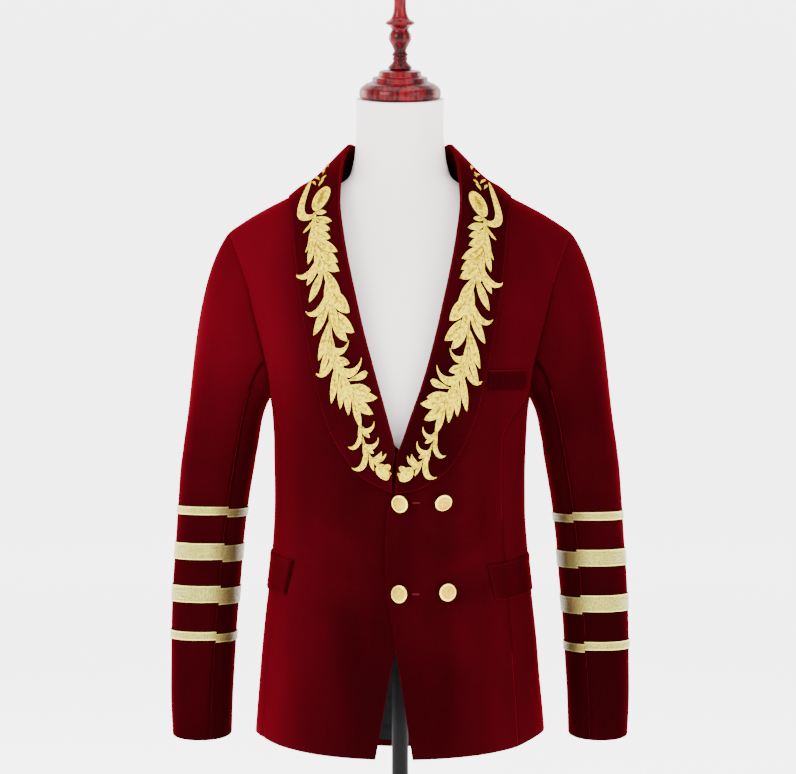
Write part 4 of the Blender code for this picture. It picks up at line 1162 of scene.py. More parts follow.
    def y_at(self, out: np.ndarray, z: np.ndarray, face: Face) -> np.ndarray:
        """Depth of the plain trunk at a distance out and height, over the shoulder's rounding too."""
        rise = np.clip(1 - (smooth(self.shoulder, np.abs(out)) - z) / self.roll(face), 0, 1)
        reach_out = face.value * self.depth(out, z, face) - self.shoulder_y
        return self.shoulder_y + reach_out * np.sqrt(1 - rise**2)

    def on_front(self, out: np.ndarray, z: np.ndarray, side: Side) -> np.ndarray:
        """A point of a front's outer face at a distance out and height below the roll."""
        reach_out = self.depth(out, z, Face.FRONT) + self.relief(out, z, side, Face.FRONT)
        y = -reach_out - self.front_lift(out, z, side)
        return np.stack([side.value * out, y, z], axis=-1)

    def build(self, velvet: bpy.types.Material, lining: bpy.types.Material) -> list[bpy.types.Object]:
        """Cuts the fronts, sides and backs, each with the lining's finish inside.

        Args:
            velvet: Finish of the outside.
            lining: Finish of the inside.

        Returns:
            The pieces.
        """
        pieces = []
        rise = np.concatenate([evenly(0.49, STEP), 1 + evenly(0.27, STEP)[1:]])
        rise[-1] -= self.shoulder_gap
        side_rise = evenly(0.46, STEP) * self.meet(Face.FRONT)
        # Word, surface, width, levels, seams that dip, seams that are shaded, face
        panels = (("front", self.front, 0.17, rise, "bd", "bd", Face.FRONT),
                  ("back", self.back, 0.16, rise, "abd", "abd", Face.BACK),
                  ("side", self.side_panel, self.side_width, side_rise, "abd", "ab", None))
        for side in Side:
            for word, surface, width, levels, dips, shaded, face in panels:
                points = surface(*spans(shares(width), levels), side)
                shell = Shell(points, axis_normals(points), self.wall).sink(dips)
                thing = shell.build(f"{word}_velvet_{side.word}", velvet, lining,
                                    {"painted_shading": self.painted_shading(points, shaded, side, face)}, self.facing)
                pieces.append(dress(thing, f"{word}_{side.word}"))
        return pieces

    def painted_shading(self, points: np.ndarray, seams: str, side: Side, face: Face | None = None) -> np.ndarray:
        """Painted light and shade on the pile: by the place along X, brighter on the shoulders and on the
        folds' ridges, darker in their troughs and by the seams.
        """
        x, z = points[..., 0], points[..., 2]
        lean = smooth(self.leaning, x) + self.shoulder_lean * ramp(z, *self.shoulder_over)
        if face is not None:
            lean = lean + self.fold_lean * self.relief(side.value * x, z, side, face)
        return lips(lean, points, seams, *self.seam_shade)

    def build_lining(self, lining: bpy.types.Material, lay: float = 0.0013) -> bpy.types.Object:
        """The lining hangs inside the back from side to side and ends above the hem.

        Args:
            lining: Its finish.
            lay: Gap from the inside of the backs.

        Returns:
            The piece.
        """
        u, v = spans(evenly(0.40, STEP), evenly(0.20, STEP))
        angle = np.radians(20 + 140 * u)
        turn = np.where(angle < math.pi / 2, angle, math.pi - angle)
        reach_out = self.ring(turn, self.hem[-1, 2] + 0 * v, Side.LEFT)[..., 0]
        foot = smooth(self.hem, reach_out, 2) + self.lining_rise + 0.014 * ramp(reach_out, 0.10, 0.145)
        points = self.ring(angle, foot + (self.lining_top - foot) * v, Side.LEFT)
        out = from_axis(points)
        wave = (0.5 + 0.5 * np.sin(9 * u + 5 * v) * np.sin(23 * u - 2 * v)) * 0.0010
        hem = 0.0010 * bell(v * 0.20 - 0.012, 0.0018)
        points = points - out * (self.wall + lay + wave + hem)[..., None]
        thing = Shell(points, grid_normals(points, out), 0.001).build("lining_satin", lining)
        return dress(thing, "lining_back")


# Sleeves

class Part(Enum):
    """The two pieces that a sleeve is cut from."""

    TOP = "top"
    UNDER = "under"


@dataclass
class Sleeves:
    """Two-piece sleeves: an oval section at each height, and a crown lofted up to the armhole."""

    trunk: Trunk
    power: float = 2.2
    cuff_z: float = 0.266
    crown_z: float = 0.655
    cuff_dip: float = 0.004
    elbow_z: float = 0.59
    elbow_crease: float = 0.0022
    elbow_wave: float = 0.052
    girth: float = 0.36
    arm_tuck: float = 0.0018
    forearm_seam: tuple[float, float] = (0.365, 0.310)
    hindarm_seam: tuple[float, float] = (0.790, 0.800)
    band_step: float = 0.003
    band_height: float = 0.00060
    cord_height: float = 0.00025
    cord_radius: float = 0.0007
    # Height, inner edge's and outer edge's distance out, middle's depth, half depth
    sections: np.ndarray = sized(
        (0.266, 0.2140, 0.2888, -0.020, 0.049), (0.308, 0.2130, 0.2912, -0.016, 0.051),
        (0.359, 0.2105, 0.2916, -0.010, 0.054), (0.410, 0.2078, 0.2915, -0.004, 0.057),
        (0.461, 0.2034, 0.2898, 0.000, 0.060), (0.512, 0.1997, 0.2867, 0.004, 0.063),
        (0.564, 0.1933, 0.2836, 0.006, 0.066), (0.615, 0.1848, 0.2797, 0.008, 0.070),
        (0.655, 0.1785, 0.2740, 0.010, 0.074))
    # Height of a band on the left sleeve, on the right sleeve, its width
    bands: np.ndarray = sized(
        (0.3795, 0.3920, 0.0105), (0.4326, 0.4444, 0.0208), (0.4900, 0.4980, 0.0206),
        (0.5425, 0.5492, 0.0102))
    # Folds by their place round the girth, from the outside over the front, and height
    creases: dict[Side, np.ndarray] = field(default_factory=lambda: {
        Side.LEFT: fold_rows(
            (50.4, 628, 12, 46, 8, -1.3), (72, 598, 24, 40, 7, 1.2), (316.8, 640, -16, 44, 9, -1.3),
            (302.4, 602, 8, 38, 8, 1.1), (36, 500, 74, 60, 10, 1.1), (122.4, 470, 84, 70, 10, -1.2),
            (331.2, 460, 86, 80, 13, -1.1), (244.8, 520, 80, 60, 10, 1.1), (144, 610, 30, 36, 7, 1.2),
            (201.6, 630, -20, 36, 8, -1.1), (79.2, 320, 82, 50, 9, -0.9), (266.4, 330, 78, 50, 10, 0.9)),
        Side.RIGHT: fold_rows(
            (43.2, 636, 18, 50, 9, -1.4), (64.8, 604, 10, 42, 7, 1.1), (309.6, 632, -10, 46, 9, -1.2),
            (295.2, 598, 14, 36, 8, 1.2), (28.8, 480, 80, 70, 11, 1.2), (111.6, 500, 86, 65, 10, -1.2),
            (338.4, 480, 84, 70, 12, -1.1), (237.6, 500, 78, 60, 11, 1.1), (154.8, 620, 24, 38, 7, 1.2),
            (216, 612, -14, 34, 8, -1.2), (90, 335, 84, 48, 9, -0.9), (252, 320, 84, 50, 10, 0.9))})
    # Height, painted light on the pile of the left sleeve, of the right sleeve
    leaning: np.ndarray = sized(
        (0.26, -0.36, -0.48), (0.36, -0.36, -0.38), (0.50, -0.36, -0.27), (0.66, -0.25, -0.06),
        (0.78, 0.00, 0.36), (0.88, 0.16, 0.40))
    # Painted light brighter on each sleeve's outer side, and painted shade along its seams
    outer_lean: float = 0.07
    seam_shade: tuple[float, float] = (0.0032, -0.45)
    loops: dict[Side, tuple[np.ndarray, np.ndarray]] = field(init=False)

    def __post_init__(self) -> None:
        """Works out each armhole's edge."""
        self.loops = {side: self.armhole_loop(side) for side in Side}

    def armhole_loop(self, side: Side) -> tuple[np.ndarray, np.ndarray]:
        """The armhole's edge as the panels have it, from the shoulder down the front and up the back.

        Args:
            side: The wearer's side.

        Returns:
            Shares of its length, and its points.
        """
        trunk = self.trunk
        rise = {face: np.linspace(trunk.meet(face), 2, 60) for face in Face}
        front = trunk.front(np.float64(1), rise[Face.FRONT], side)
        back = trunk.back(np.float64(1), rise[Face.BACK], side)
        under = trunk.side_panel(np.linspace(0, 1, 30), np.full(30, trunk.meet(Face.FRONT)), side)
        loop = np.concatenate([front[::-1], under[1:-1], back])
        length = walked(loop)
        return length / length[-1], loop

    def ring(self, share: np.ndarray, z: np.ndarray, side: Side) -> np.ndarray:
        """An oval section: share 0 is the outside, 0.25 the front, 0.5 the inside and 0.75 the back."""
        inner, outer = smooth(self.sections, z, 1), smooth(self.sections, z, 2)
        angle = 2 * math.pi * share
        out = (inner + outer) / 2 + (outer - inner) / 2 * squarer(np.cos(angle), self.power)
        y = smooth(self.sections, z, 3) - smooth(self.sections, z, 4) * squarer(np.sin(angle), self.power)
        dip = self.cuff_dip * np.sin(angle) * (1 - ramp(z, self.cuff_z, 0.33))
        bend = np.cos(2 * math.pi * (z - self.elbow_z) / self.elbow_wave) * bell(z - self.elbow_z, 0.06)
        y = y - self.elbow_crease * bend * bell(share - 0.16, 0.085)
        return np.stack([side.value * out, y, z - dip], axis=-1)

    def plain(self, share: np.ndarray, station: np.ndarray, side: Side) -> np.ndarray:
        """A point of the sleeve without its creases.

        The station runs 0 to 1 down the crown, a cubic that leaves the armhole outwards and meets the first
        section, and 1 to 2 from there to the cuff.

        Args:
            share: Share round the sleeve, from the outside over the front.
            station: Place down the sleeve.
            side: The wearer's side.

        Returns:
            Points in metres.
        """
        shares_round, loop = self.loops[side]
        around = np.mod(share, 1)
        start = np.stack([np.interp(around, shares_round, loop[:, c]) for c in range(3)], axis=-1)
        end = self.ring(around, np.full(around.shape, self.crown_z), side)
        down = unit(self.ring(around, np.full(around.shape, self.crown_z - 0.03), side) - end)
        angle = 2 * math.pi * around
        ones = np.ones_like(angle)
        leave = unit(np.stack([side.value * 0.55 * ones, -0.22 * np.sin(angle), -0.72 * ones], axis=-1))
        start = start - leave * self.arm_tuck
        length = 0.85 * np.linalg.norm(end - start, axis=-1, keepdims=True)
        t = np.clip(station, 0, 1)[..., None]
        crown = cubic(t, start, length * leave, end, length * down)
        z = self.crown_z - np.clip(station - 1, 0, 1) * (self.crown_z - self.cuff_z)
        return np.where(station[..., None] <= 1, crown, self.ring(around, z, side))

    def outward(self, points: np.ndarray, side: Side) -> np.ndarray:
        """Directions away from the middle of the sleeve."""
        z = np.clip(points[..., 2], self.cuff_z, self.crown_z)
        middle = (smooth(self.sections, z, 1) + smooth(self.sections, z, 2)) / 2
        inside = np.stack([side.value * middle, smooth(self.sections, z, 3), points[..., 2]], axis=-1)
        return unit(points - inside)

    def part(self, u: np.ndarray, station: np.ndarray, part: Part, side: Side) -> np.ndarray:
        """A point of the top or the under sleeve, u running between its seams, with the creases on it."""
        share_down = station / 2
        fore = self.forearm_seam[0] + (self.forearm_seam[1] - self.forearm_seam[0]) * share_down
        hind = self.hindarm_seam[0] + (self.hindarm_seam[1] - self.hindarm_seam[0]) * share_down
        low, high = (hind - 1, fore) if part is Part.TOP else (fore, hind)
        share = low + (high - low) * u
        point = self.plain(share, station, side)
        around, z = np.mod(share, 1), point[..., 2]
        fold = sum(folds_at(self.creases[side], (around + turn) * self.girth, z) for turn in (-1, 0, 1))
        down = ramp(station, 0.35, 0.85) * (1 - ramp(station, 1.88, 2.0))
        fold = fold * down * (1 - ramp(np.abs(u - 0.5), 0.40, 0.49))
        return point + self.outward(point, side) * fold[..., None]

    def band_edges(self, side: Side, part: Part) -> np.ndarray:
        """Stations of the bands' lower and upper edges, a little lower on the under sleeve."""
        height = self.bands[:, 0 if side is Side.LEFT else 1] - (self.band_step if part is Part.UNDER else 0)
        half = self.bands[:, 2] / 2
        edges = np.stack([height - half, height + half], axis=-1)
        return 1 + (self.crown_z - edges) / (self.crown_z - self.cuff_z)

    def build(self, velvet: bpy.types.Material, lining: bpy.types.Material,
              braid: bpy.types.Material) -> list[bpy.types.Object]:
        """Cuts the sleeves and lays the bands on them.

        Args:
            velvet: Finish of the outside.
            lining: Finish of the inside.
            braid: Finish of the bands.

        Returns:
            The pieces.
        """
        pieces = []
        down = np.concatenate([evenly(0.24, STEP), 1 + evenly(0.39, STEP)[1:]])
        for side in Side:
            for part, width in ((Part.TOP, 0.20), (Part.UNDER, 0.15)):
                points = self.part(*spans(shares(width), down), part, side)
                normal = grid_normals(points, self.outward(points, side))
                shell = Shell(points, normal, self.trunk.wall).sink("abc")
                thing = shell.build(f"{part.value}sleeve_velvet_{side.word}", velvet, lining,
                                    {"painted_shading": self.painted_shading(points, side)})
                pieces.append(dress(thing, f"{part.value}sleeve_{side.word}"))
                pieces += [self.band(number, low, high, width, part, side, braid)
                           for number, (low, high) in enumerate(self.band_edges(side, part), 1)]
        return pieces

    def painted_shading(self, points: np.ndarray, side: Side) -> np.ndarray:
        """Painted light and shade on the pile: brighter outside and at the shoulder, darker at the cuff and
        by the seams.
        """
        share = (np.abs(points[..., 0]) - 0.24) / 0.05
        height = smooth(self.leaning, points[..., 2], 1 if side is Side.LEFT else 2)
        return lips(height + self.outer_lean * share, points, "ab", *self.seam_shade)

    def band(self, number: int, low: float, high: float, width: float, part: Part, side: Side,
             braid: bpy.types.Material) -> bpy.types.Object:
        """A flat braid on the sleeve. Its height is that of the ground plus a cord along each edge.

        Args:
            number: The band, 1 the lowest.
            low: Station of its lower edge.
            high: Station of its upper edge.
            width: Length round this part of the sleeve.
            part: Top or under sleeve.
            side: The wearer's side.
            braid: Its finish.

        Returns:
            The piece.
        """
        tall = abs(high - low) * (self.crown_z - self.cuff_z)
        u, v = spans(shares(width, 0.0030), evenly(tall, 0.0006))
        points = self.part(u, high + (low - high) * v, part, side)
        normal = grid_normals(points, self.outward(points, side))
        from_edge = np.minimum(v, 1 - v) * tall
        cord = np.sqrt(np.maximum(1 - (from_edge / self.cord_radius - 1) ** 2, 0))
        lanes = np.cos(2 * math.pi * v * tall / Braid.lane)
        height = self.band_height + self.cord_height * cord + 0.00005 * lanes
        edge = 1 - ramp(from_edge, 0.0011, 0.0017)
        # Painted shade on the braid where it turns in towards the body at the front
        painted_shade_inward = (1 - ramp(np.abs(points[..., 0]), 0.220, 0.242)) * (1 - ramp(points[..., 1], -0.03, 0.03))
        raised = points + normal * (LAY + height)[..., None]
        name = f"braid_{part.value}_{side.word}_{number}"
        thing = Shell(raised, normal, np.maximum(height - 0.0001, 0.0005), 3).build(
            name, braid, None, {"edge": edge, "painted_shading": painted_shade_inward})
        return dress(thing, f"band_{part.value}_{side.word}_{number}")


# The collar and its garland

@dataclass
class Collar:
    """The shawl collar: a strip between the roll line and the outer edge, raised where it nears the trunk."""

    trunk: Trunk
    wall: float = 0.0025
    roll_wall: float = 0.0020
    lay: float = 0.0014
    roll_lift: float = 0.005
    soft: float = 0.0015
    step: float = 0.0036
    # Painted highlight along the collar's edges: its width and strength
    seam_shade: tuple[float, float] = (0.0013, 0.34)
    by_shoulder: tuple[float, float, float, float] = (6.5, 8.5, 11.5, 13)
    lapped: tuple[float, float] = (0.035, 0.075)
    folds: np.ndarray = field(default_factory=lambda: fold_rows(
        (22.5, 200, 60, 50, 10, 0.6), (52.5, 340, 70, 50, 9, -0.6), (33.75, 520, 40, 35, 10, 0.8),
        (46.5, 600, 55, 35, 10, -0.7)))
    # Roll line's distance out and height, outer edge's distance out and height
    lapel: np.ndarray = sized(
        (0.0062, 0.6215, 0.0092, 0.5735), (0.0080, 0.638, 0.048, 0.594), (0.0160, 0.668, 0.071, 0.622),
        (0.0290, 0.715, 0.090, 0.660), (0.0440, 0.771, 0.1060, 0.720), (0.0550, 0.820, 0.1170, 0.778),
        (0.0635, 0.860, 0.1250, 0.830), (0.0705, 0.900, 0.1310, 0.878), (0.0750, 0.940, 0.1355, 0.920))
    left_foot: np.ndarray = sized(
        (-0.0045, 0.6215, -0.007, 0.5735), (0.0015, 0.636, 0.026, 0.580), (0.0125, 0.668, 0.064, 0.609))
    # Roll line's distance out, depth and height, outer edge's distance out and height
    neck: np.ndarray = sized(
        (0.0735, -0.040, 0.984, 0.1395, 0.9460), (0.0680, -0.010, 1.011, 0.1330, 0.9340),
        (0.0640, 0.022, 1.019, 0.1130, 0.9260), (0.0545, 0.053, 1.018, 0.0860, 0.9220),
        (0.0320, 0.077, 1.016, 0.0460, 0.9220), (0.0, 0.084, 1.015, 0.0, 0.9230))
    last: int = 14
    lines: dict[Side, tuple[np.ndarray, np.ndarray]] = field(init=False)
    under: dict[Side, tuple[np.ndarray, np.ndarray]] = field(init=False)

    def __post_init__(self) -> None:
        """Works out the collar's lines, and the trunk's points and normals below it."""
        self.lines = {side: self.edge_lines(side) for side in Side}
        self.under = {side: self.trunk_below(side) for side in Side}

    def edge_lines(self, side: Side) -> tuple[np.ndarray, np.ndarray]:
        """The roll line and the outer edge as points, from the opening's foot to the centre back."""
        lapel = self.lapel.copy()
        if side is Side.LEFT:
            lapel[:3] = self.left_foot
        lift = self.roll_lift + self.lay + self.wall
        roll_y = self.trunk.y_at(lapel[:, 0], lapel[:, 1], Face.FRONT) - lift
        roll = np.column_stack([lapel[:, 0], roll_y, lapel[:, 1]])
        edge_y = self.trunk.y_at(lapel[:, 2], lapel[:, 3], Face.FRONT)
        edge = np.column_stack([lapel[:, 2], edge_y, lapel[:, 3]])
        neck_y = self.trunk.y_at(self.neck[:, 3], self.neck[:, 4], Face.BACK)
        neck_y[0] = self.trunk.shoulder_y
        roll = np.concatenate([roll, self.neck[:, :3]])
        edge = np.concatenate([edge, np.column_stack([self.neck[:, 3], neck_y, self.neck[:, 4]])])
        return roll * (side.value, 1, 1), edge * (side.value, 1, 1)

    def trunk_below(self, side: Side) -> tuple[np.ndarray, np.ndarray]:
        """Points and normals of the plain trunk about 2 mm apart."""
        found = []
        for face in Face:
            out, level = spans(np.linspace(-0.03, 0.165, 95), np.linspace(0.55, 2, 230))
            points = self.trunk.point(out, level, side, face, relief=False)
            found.append((points.reshape(-1, 3), axis_normals(points).reshape(-1, 3)))
        return tuple(np.concatenate(parts) for parts in zip(*found))

    def clear(self, points: np.ndarray, side: Side, height: np.ndarray) -> np.ndarray:
        """Moves points out along the normal of the nearest point of the trunk until they lie high enough.

        What is short is rounded off: (short + sqrt(short^2 + soft^2)) / 2.

        Args:
            points: A grid of points.
            side: The wearer's side.
            height: The least height above the trunk for each point.

        Returns:
            The moved points.
        """
        base, normals = self.under[side]
        flat = points.reshape(-1, 3)
        size = (base**2).sum(-1)
        nearest = np.concatenate([np.argmin(size - 2 * block @ base.T, axis=1)
                                  for block in np.array_split(flat, max(1, len(flat) // 400))])
        above = ((flat - base[nearest]) * normals[nearest]).sum(-1)
        lift = ((side is Side.LEFT) * self.trunk.lap_lift * (1 - ramp(side.value * flat[:, 0], *self.lapped))
                * (1 - ramp(flat[:, 2], *self.trunk.lap_top)))
        short = np.broadcast_to(height, points.shape[:-1]).reshape(-1) + lift - above
        move = 0.5 * (short + np.sqrt(short**2 + self.soft**2))
        shift = (normals[nearest] * move[:, None]).reshape(points.shape)
        return points + spread_out(shift, 2)

    def shoulder_share(self, station: np.ndarray) -> np.ndarray:
        """1 at the stations that pass over the shoulder, where the sleeve comes close, and 0 away from it."""
        start, full, fall, end = self.by_shoulder
        return ramp(station, start, full) * (1 - ramp(station, fall, end))

    def point(self, across: np.ndarray, station: np.ndarray, side: Side) -> np.ndarray:
        """The upper face: straight from the roll line to the outer edge, swollen, and clear of the trunk.

        Args:
            across: 0 at the roll line to 1 at the outer edge.
            station: Station of the tables, 0 at the opening's foot.
            side: The wearer's side.

        Returns:
            Points in metres.
        """
        roll, edge = (through(line, station) for line in self.lines[side])
        ahead = through(self.lines[side][0], np.minimum(station + 0.1, self.last))
        behind = through(self.lines[side][0], np.maximum(station - 0.1, 0))
        out = unit(np.cross(ahead - behind, edge - roll))
        upward = out[..., 2:3] * ramp(station, 9, 11)[..., None]
        out = out * np.sign(upward - out[..., 1:2] * (station < 10)[..., None])
        swell = (0.003 + 0.005 * ramp(station, 8, 11)) * hump(across)
        straight = roll + (edge - roll) * across[..., None] + out * swell[..., None]
        by_shoulder = self.shoulder_share(station)
        height = self.lay + self.wall + 0.0026 * by_shoulder
        return self.clear(straight, side, height - 0.0042 * by_shoulder * ramp(across, 0.72, 1.0))

    def build(self, velvet: bpy.types.Material) -> list[bpy.types.Object]:
        """Cuts both halves. They meet at the middle of the back on a flat seam."""
        pieces = []
        for side in Side:
            u, v = spans(shares(0.075, self.step, seams=False), evenly(0.68, self.step) * self.last)
            points = self.point(u, v, side)
            across, along = reach(points)
            fold = folds_at(self.folds, across, along) * hump(u)
            normal = axis_normals(points)
            normal[:, -1, 0] = 0
            normal = unit(normal)
            points = points + normal * fold[..., None]
            points[:, -1, 0] = side.value * SEAM
            thinner = 0.0013 * self.shoulder_share(v) * ramp(u, 0.72, 1.0)
            wall = self.wall + self.roll_wall * bell(across, 0.007) - thinner
            # Painted light and shade: the left half darker than the right, with a painted highlight along the
            # roll line, the outer edge and the foot
            painted_shading = lips(-0.22 - 0.06 * side.value, points, "abc", *self.seam_shade)
            shell = Shell(points, normal, wall, 6)
            thing = shell.build(f"collar_velvet_{side.word}", velvet, None, {"painted_shading": painted_shading})
            pieces.append(dress(thing, f"collar_{side.word}"))
        return pieces


def spread_out(grid: np.ndarray, times: int) -> np.ndarray:
    """Averages a grid with its neighbours, 1 2 1 each way, this many times."""
    for _ in range(times):
        padded = np.pad(grid, ((1, 1), (0, 0), (0, 0)), mode="edge")
        grid = 0.25 * padded[:-2] + 0.5 * padded[1:-1] + 0.25 * padded[2:]
        padded = np.pad(grid, ((0, 0), (1, 1), (0, 0)), mode="edge")
        grid = 0.25 * padded[:, :-2] + 0.5 * padded[:, 1:-1] + 0.25 * padded[:, 2:]
    return grid


def lips(painted_shading: Any, points: np.ndarray, edges: str, width: float, gain: float) -> np.ndarray:
    """Adds painted light along some edges, a painted highlight when gain is above zero and painted shade
    below it: gain * exp(-(distance / width)^2).

    Args:
        painted_shading: Painted light and shade on the pile, one number or a grid of them.
        points: The grid's points.
        edges: Which edges, in the letters of to_edges.
        width: How far the line reaches.
        gain: Its strength, below zero for painted shade.

    Returns:
        The lean of the pile with the edges on it.
    """
    return painted_shading + gain * bell(to_edges(points, edges), width)


@dataclass
class Frond:
    """A strip of padded stitching along a middle line on the collar.

    Its height is that of a flattened arch, with a groove down the rib and a fine cord round the edge.
    """

    run: np.ndarray
    off: np.ndarray
    half: np.ndarray
    lift: Any = 0.0009
    arch: float = 0.0011
    rib: float = 1.0
    heart: float = 0.0

    def grids(self, ground: "Ground", columns: int = 13) -> dict[str, np.ndarray]:
        """Points and numbers of the strip.

        Args:
            ground: The collar's surface in lengths along and off its middle.
            columns: Points across the strip.

        Returns:
            Upper and lower points, the cloth's map, and the numbers edge and rib.
        """
        turn_run, turn_off = np.gradient(self.run), np.gradient(self.off)
        size = np.maximum(np.hypot(turn_run, turn_off), 1e-9)
        turn_run, turn_off = turn_run / size, turn_off / size
        s = np.sin(np.linspace(-math.pi / 2, math.pi / 2, columns))
        s[[1, -2]] = -0.93, 0.93
        run = self.run[:, None] - turn_off[:, None] * self.half[:, None] * s
        off = self.off[:, None] + turn_run[:, None] * self.half[:, None] * s
        base, normal = ground.read(run, off)
        t = np.linspace(0, 1, len(self.run))[:, None]
        lift = np.broadcast_to(np.asarray(self.lift), (len(self.run),))[:, None]
        lower = np.minimum(1, self.half[:, None] / 0.0030) ** 0.5
        arch = self.arch * np.sqrt(np.maximum(1 - s**2, 0)) * lower
        groove = self.rib * 0.00045 * bell(s, 0.13) * (1 - t**3)
        cord = 0.00030 * bell(np.abs(s) - 0.82, 0.10)
        height = 0.00045 + arch - groove + cord
        along = walked(np.column_stack([self.run, self.off]))[:, None]
        cloth = np.stack(np.broadcast_arrays(s * self.half[:, None], along), axis=-1)
        # rib darkens the thread along the midrib, less towards the tip: a darker vein and painted shade;
        # heart darkens a bud's middle
        rib = self.rib * bell(s, 0.24) * (1 - t**3) + self.heart * bell(s, 0.5) * bell(t - 0.5, 0.30)
        edge = ramp(np.abs(s), 0.66, 0.78) + ramp(np.abs(s), 0.86, 0.93) + 0 * t
        return {"upper": base + normal * (lift + height)[..., None], "lower": base + normal * lift[..., None],
                "cloth": cloth, "edge": edge, "rib": rib}


@dataclass
class Ground:
    """The collar's upper face read by a length along its middle and a length off it."""

    collar: Collar
    side: Side

    def __post_init__(self) -> None:
        """Works out a grid of the collar's points and normals, and the lengths along it."""
        self.points = self.collar.point(*spans(np.linspace(0, 1, 41), np.linspace(0, 11.5, 260)), self.side)
        self.normals = axis_normals(self.points)
        self.length = walked(self.points[20])
        self.width = np.linalg.norm(self.points[-1] - self.points[0], axis=1)

    def read(self, run: np.ndarray, off: np.ndarray) -> tuple[np.ndarray, np.ndarray]:
        """Points and normals between the grid's own, in proportion to the distance.

        Args:
            run: Lengths along the collar's middle from the foot.
            off: Lengths off it, to the outer edge.

        Returns:
            Points and unit normals.
        """
        column = np.interp(run, self.length, np.arange(len(self.length)))
        width = np.interp(column, np.arange(len(self.width)), self.width)
        row = np.clip(0.5 + off / width, 0.02, 0.98) * 40
        r, c = np.minimum(row.astype(int), 39), np.minimum(column.astype(int), len(self.length) - 2)
        x, y = (row - r)[..., None], (column - c)[..., None]
        mixed = [(1 - x) * (1 - y) * g[r, c] + x * (1 - y) * g[r + 1, c] + (1 - x) * y * g[r, c + 1]
                 + x * y * g[r + 1, c + 1] for g in (self.points, self.normals)]
        return mixed[0], unit(mixed[1])


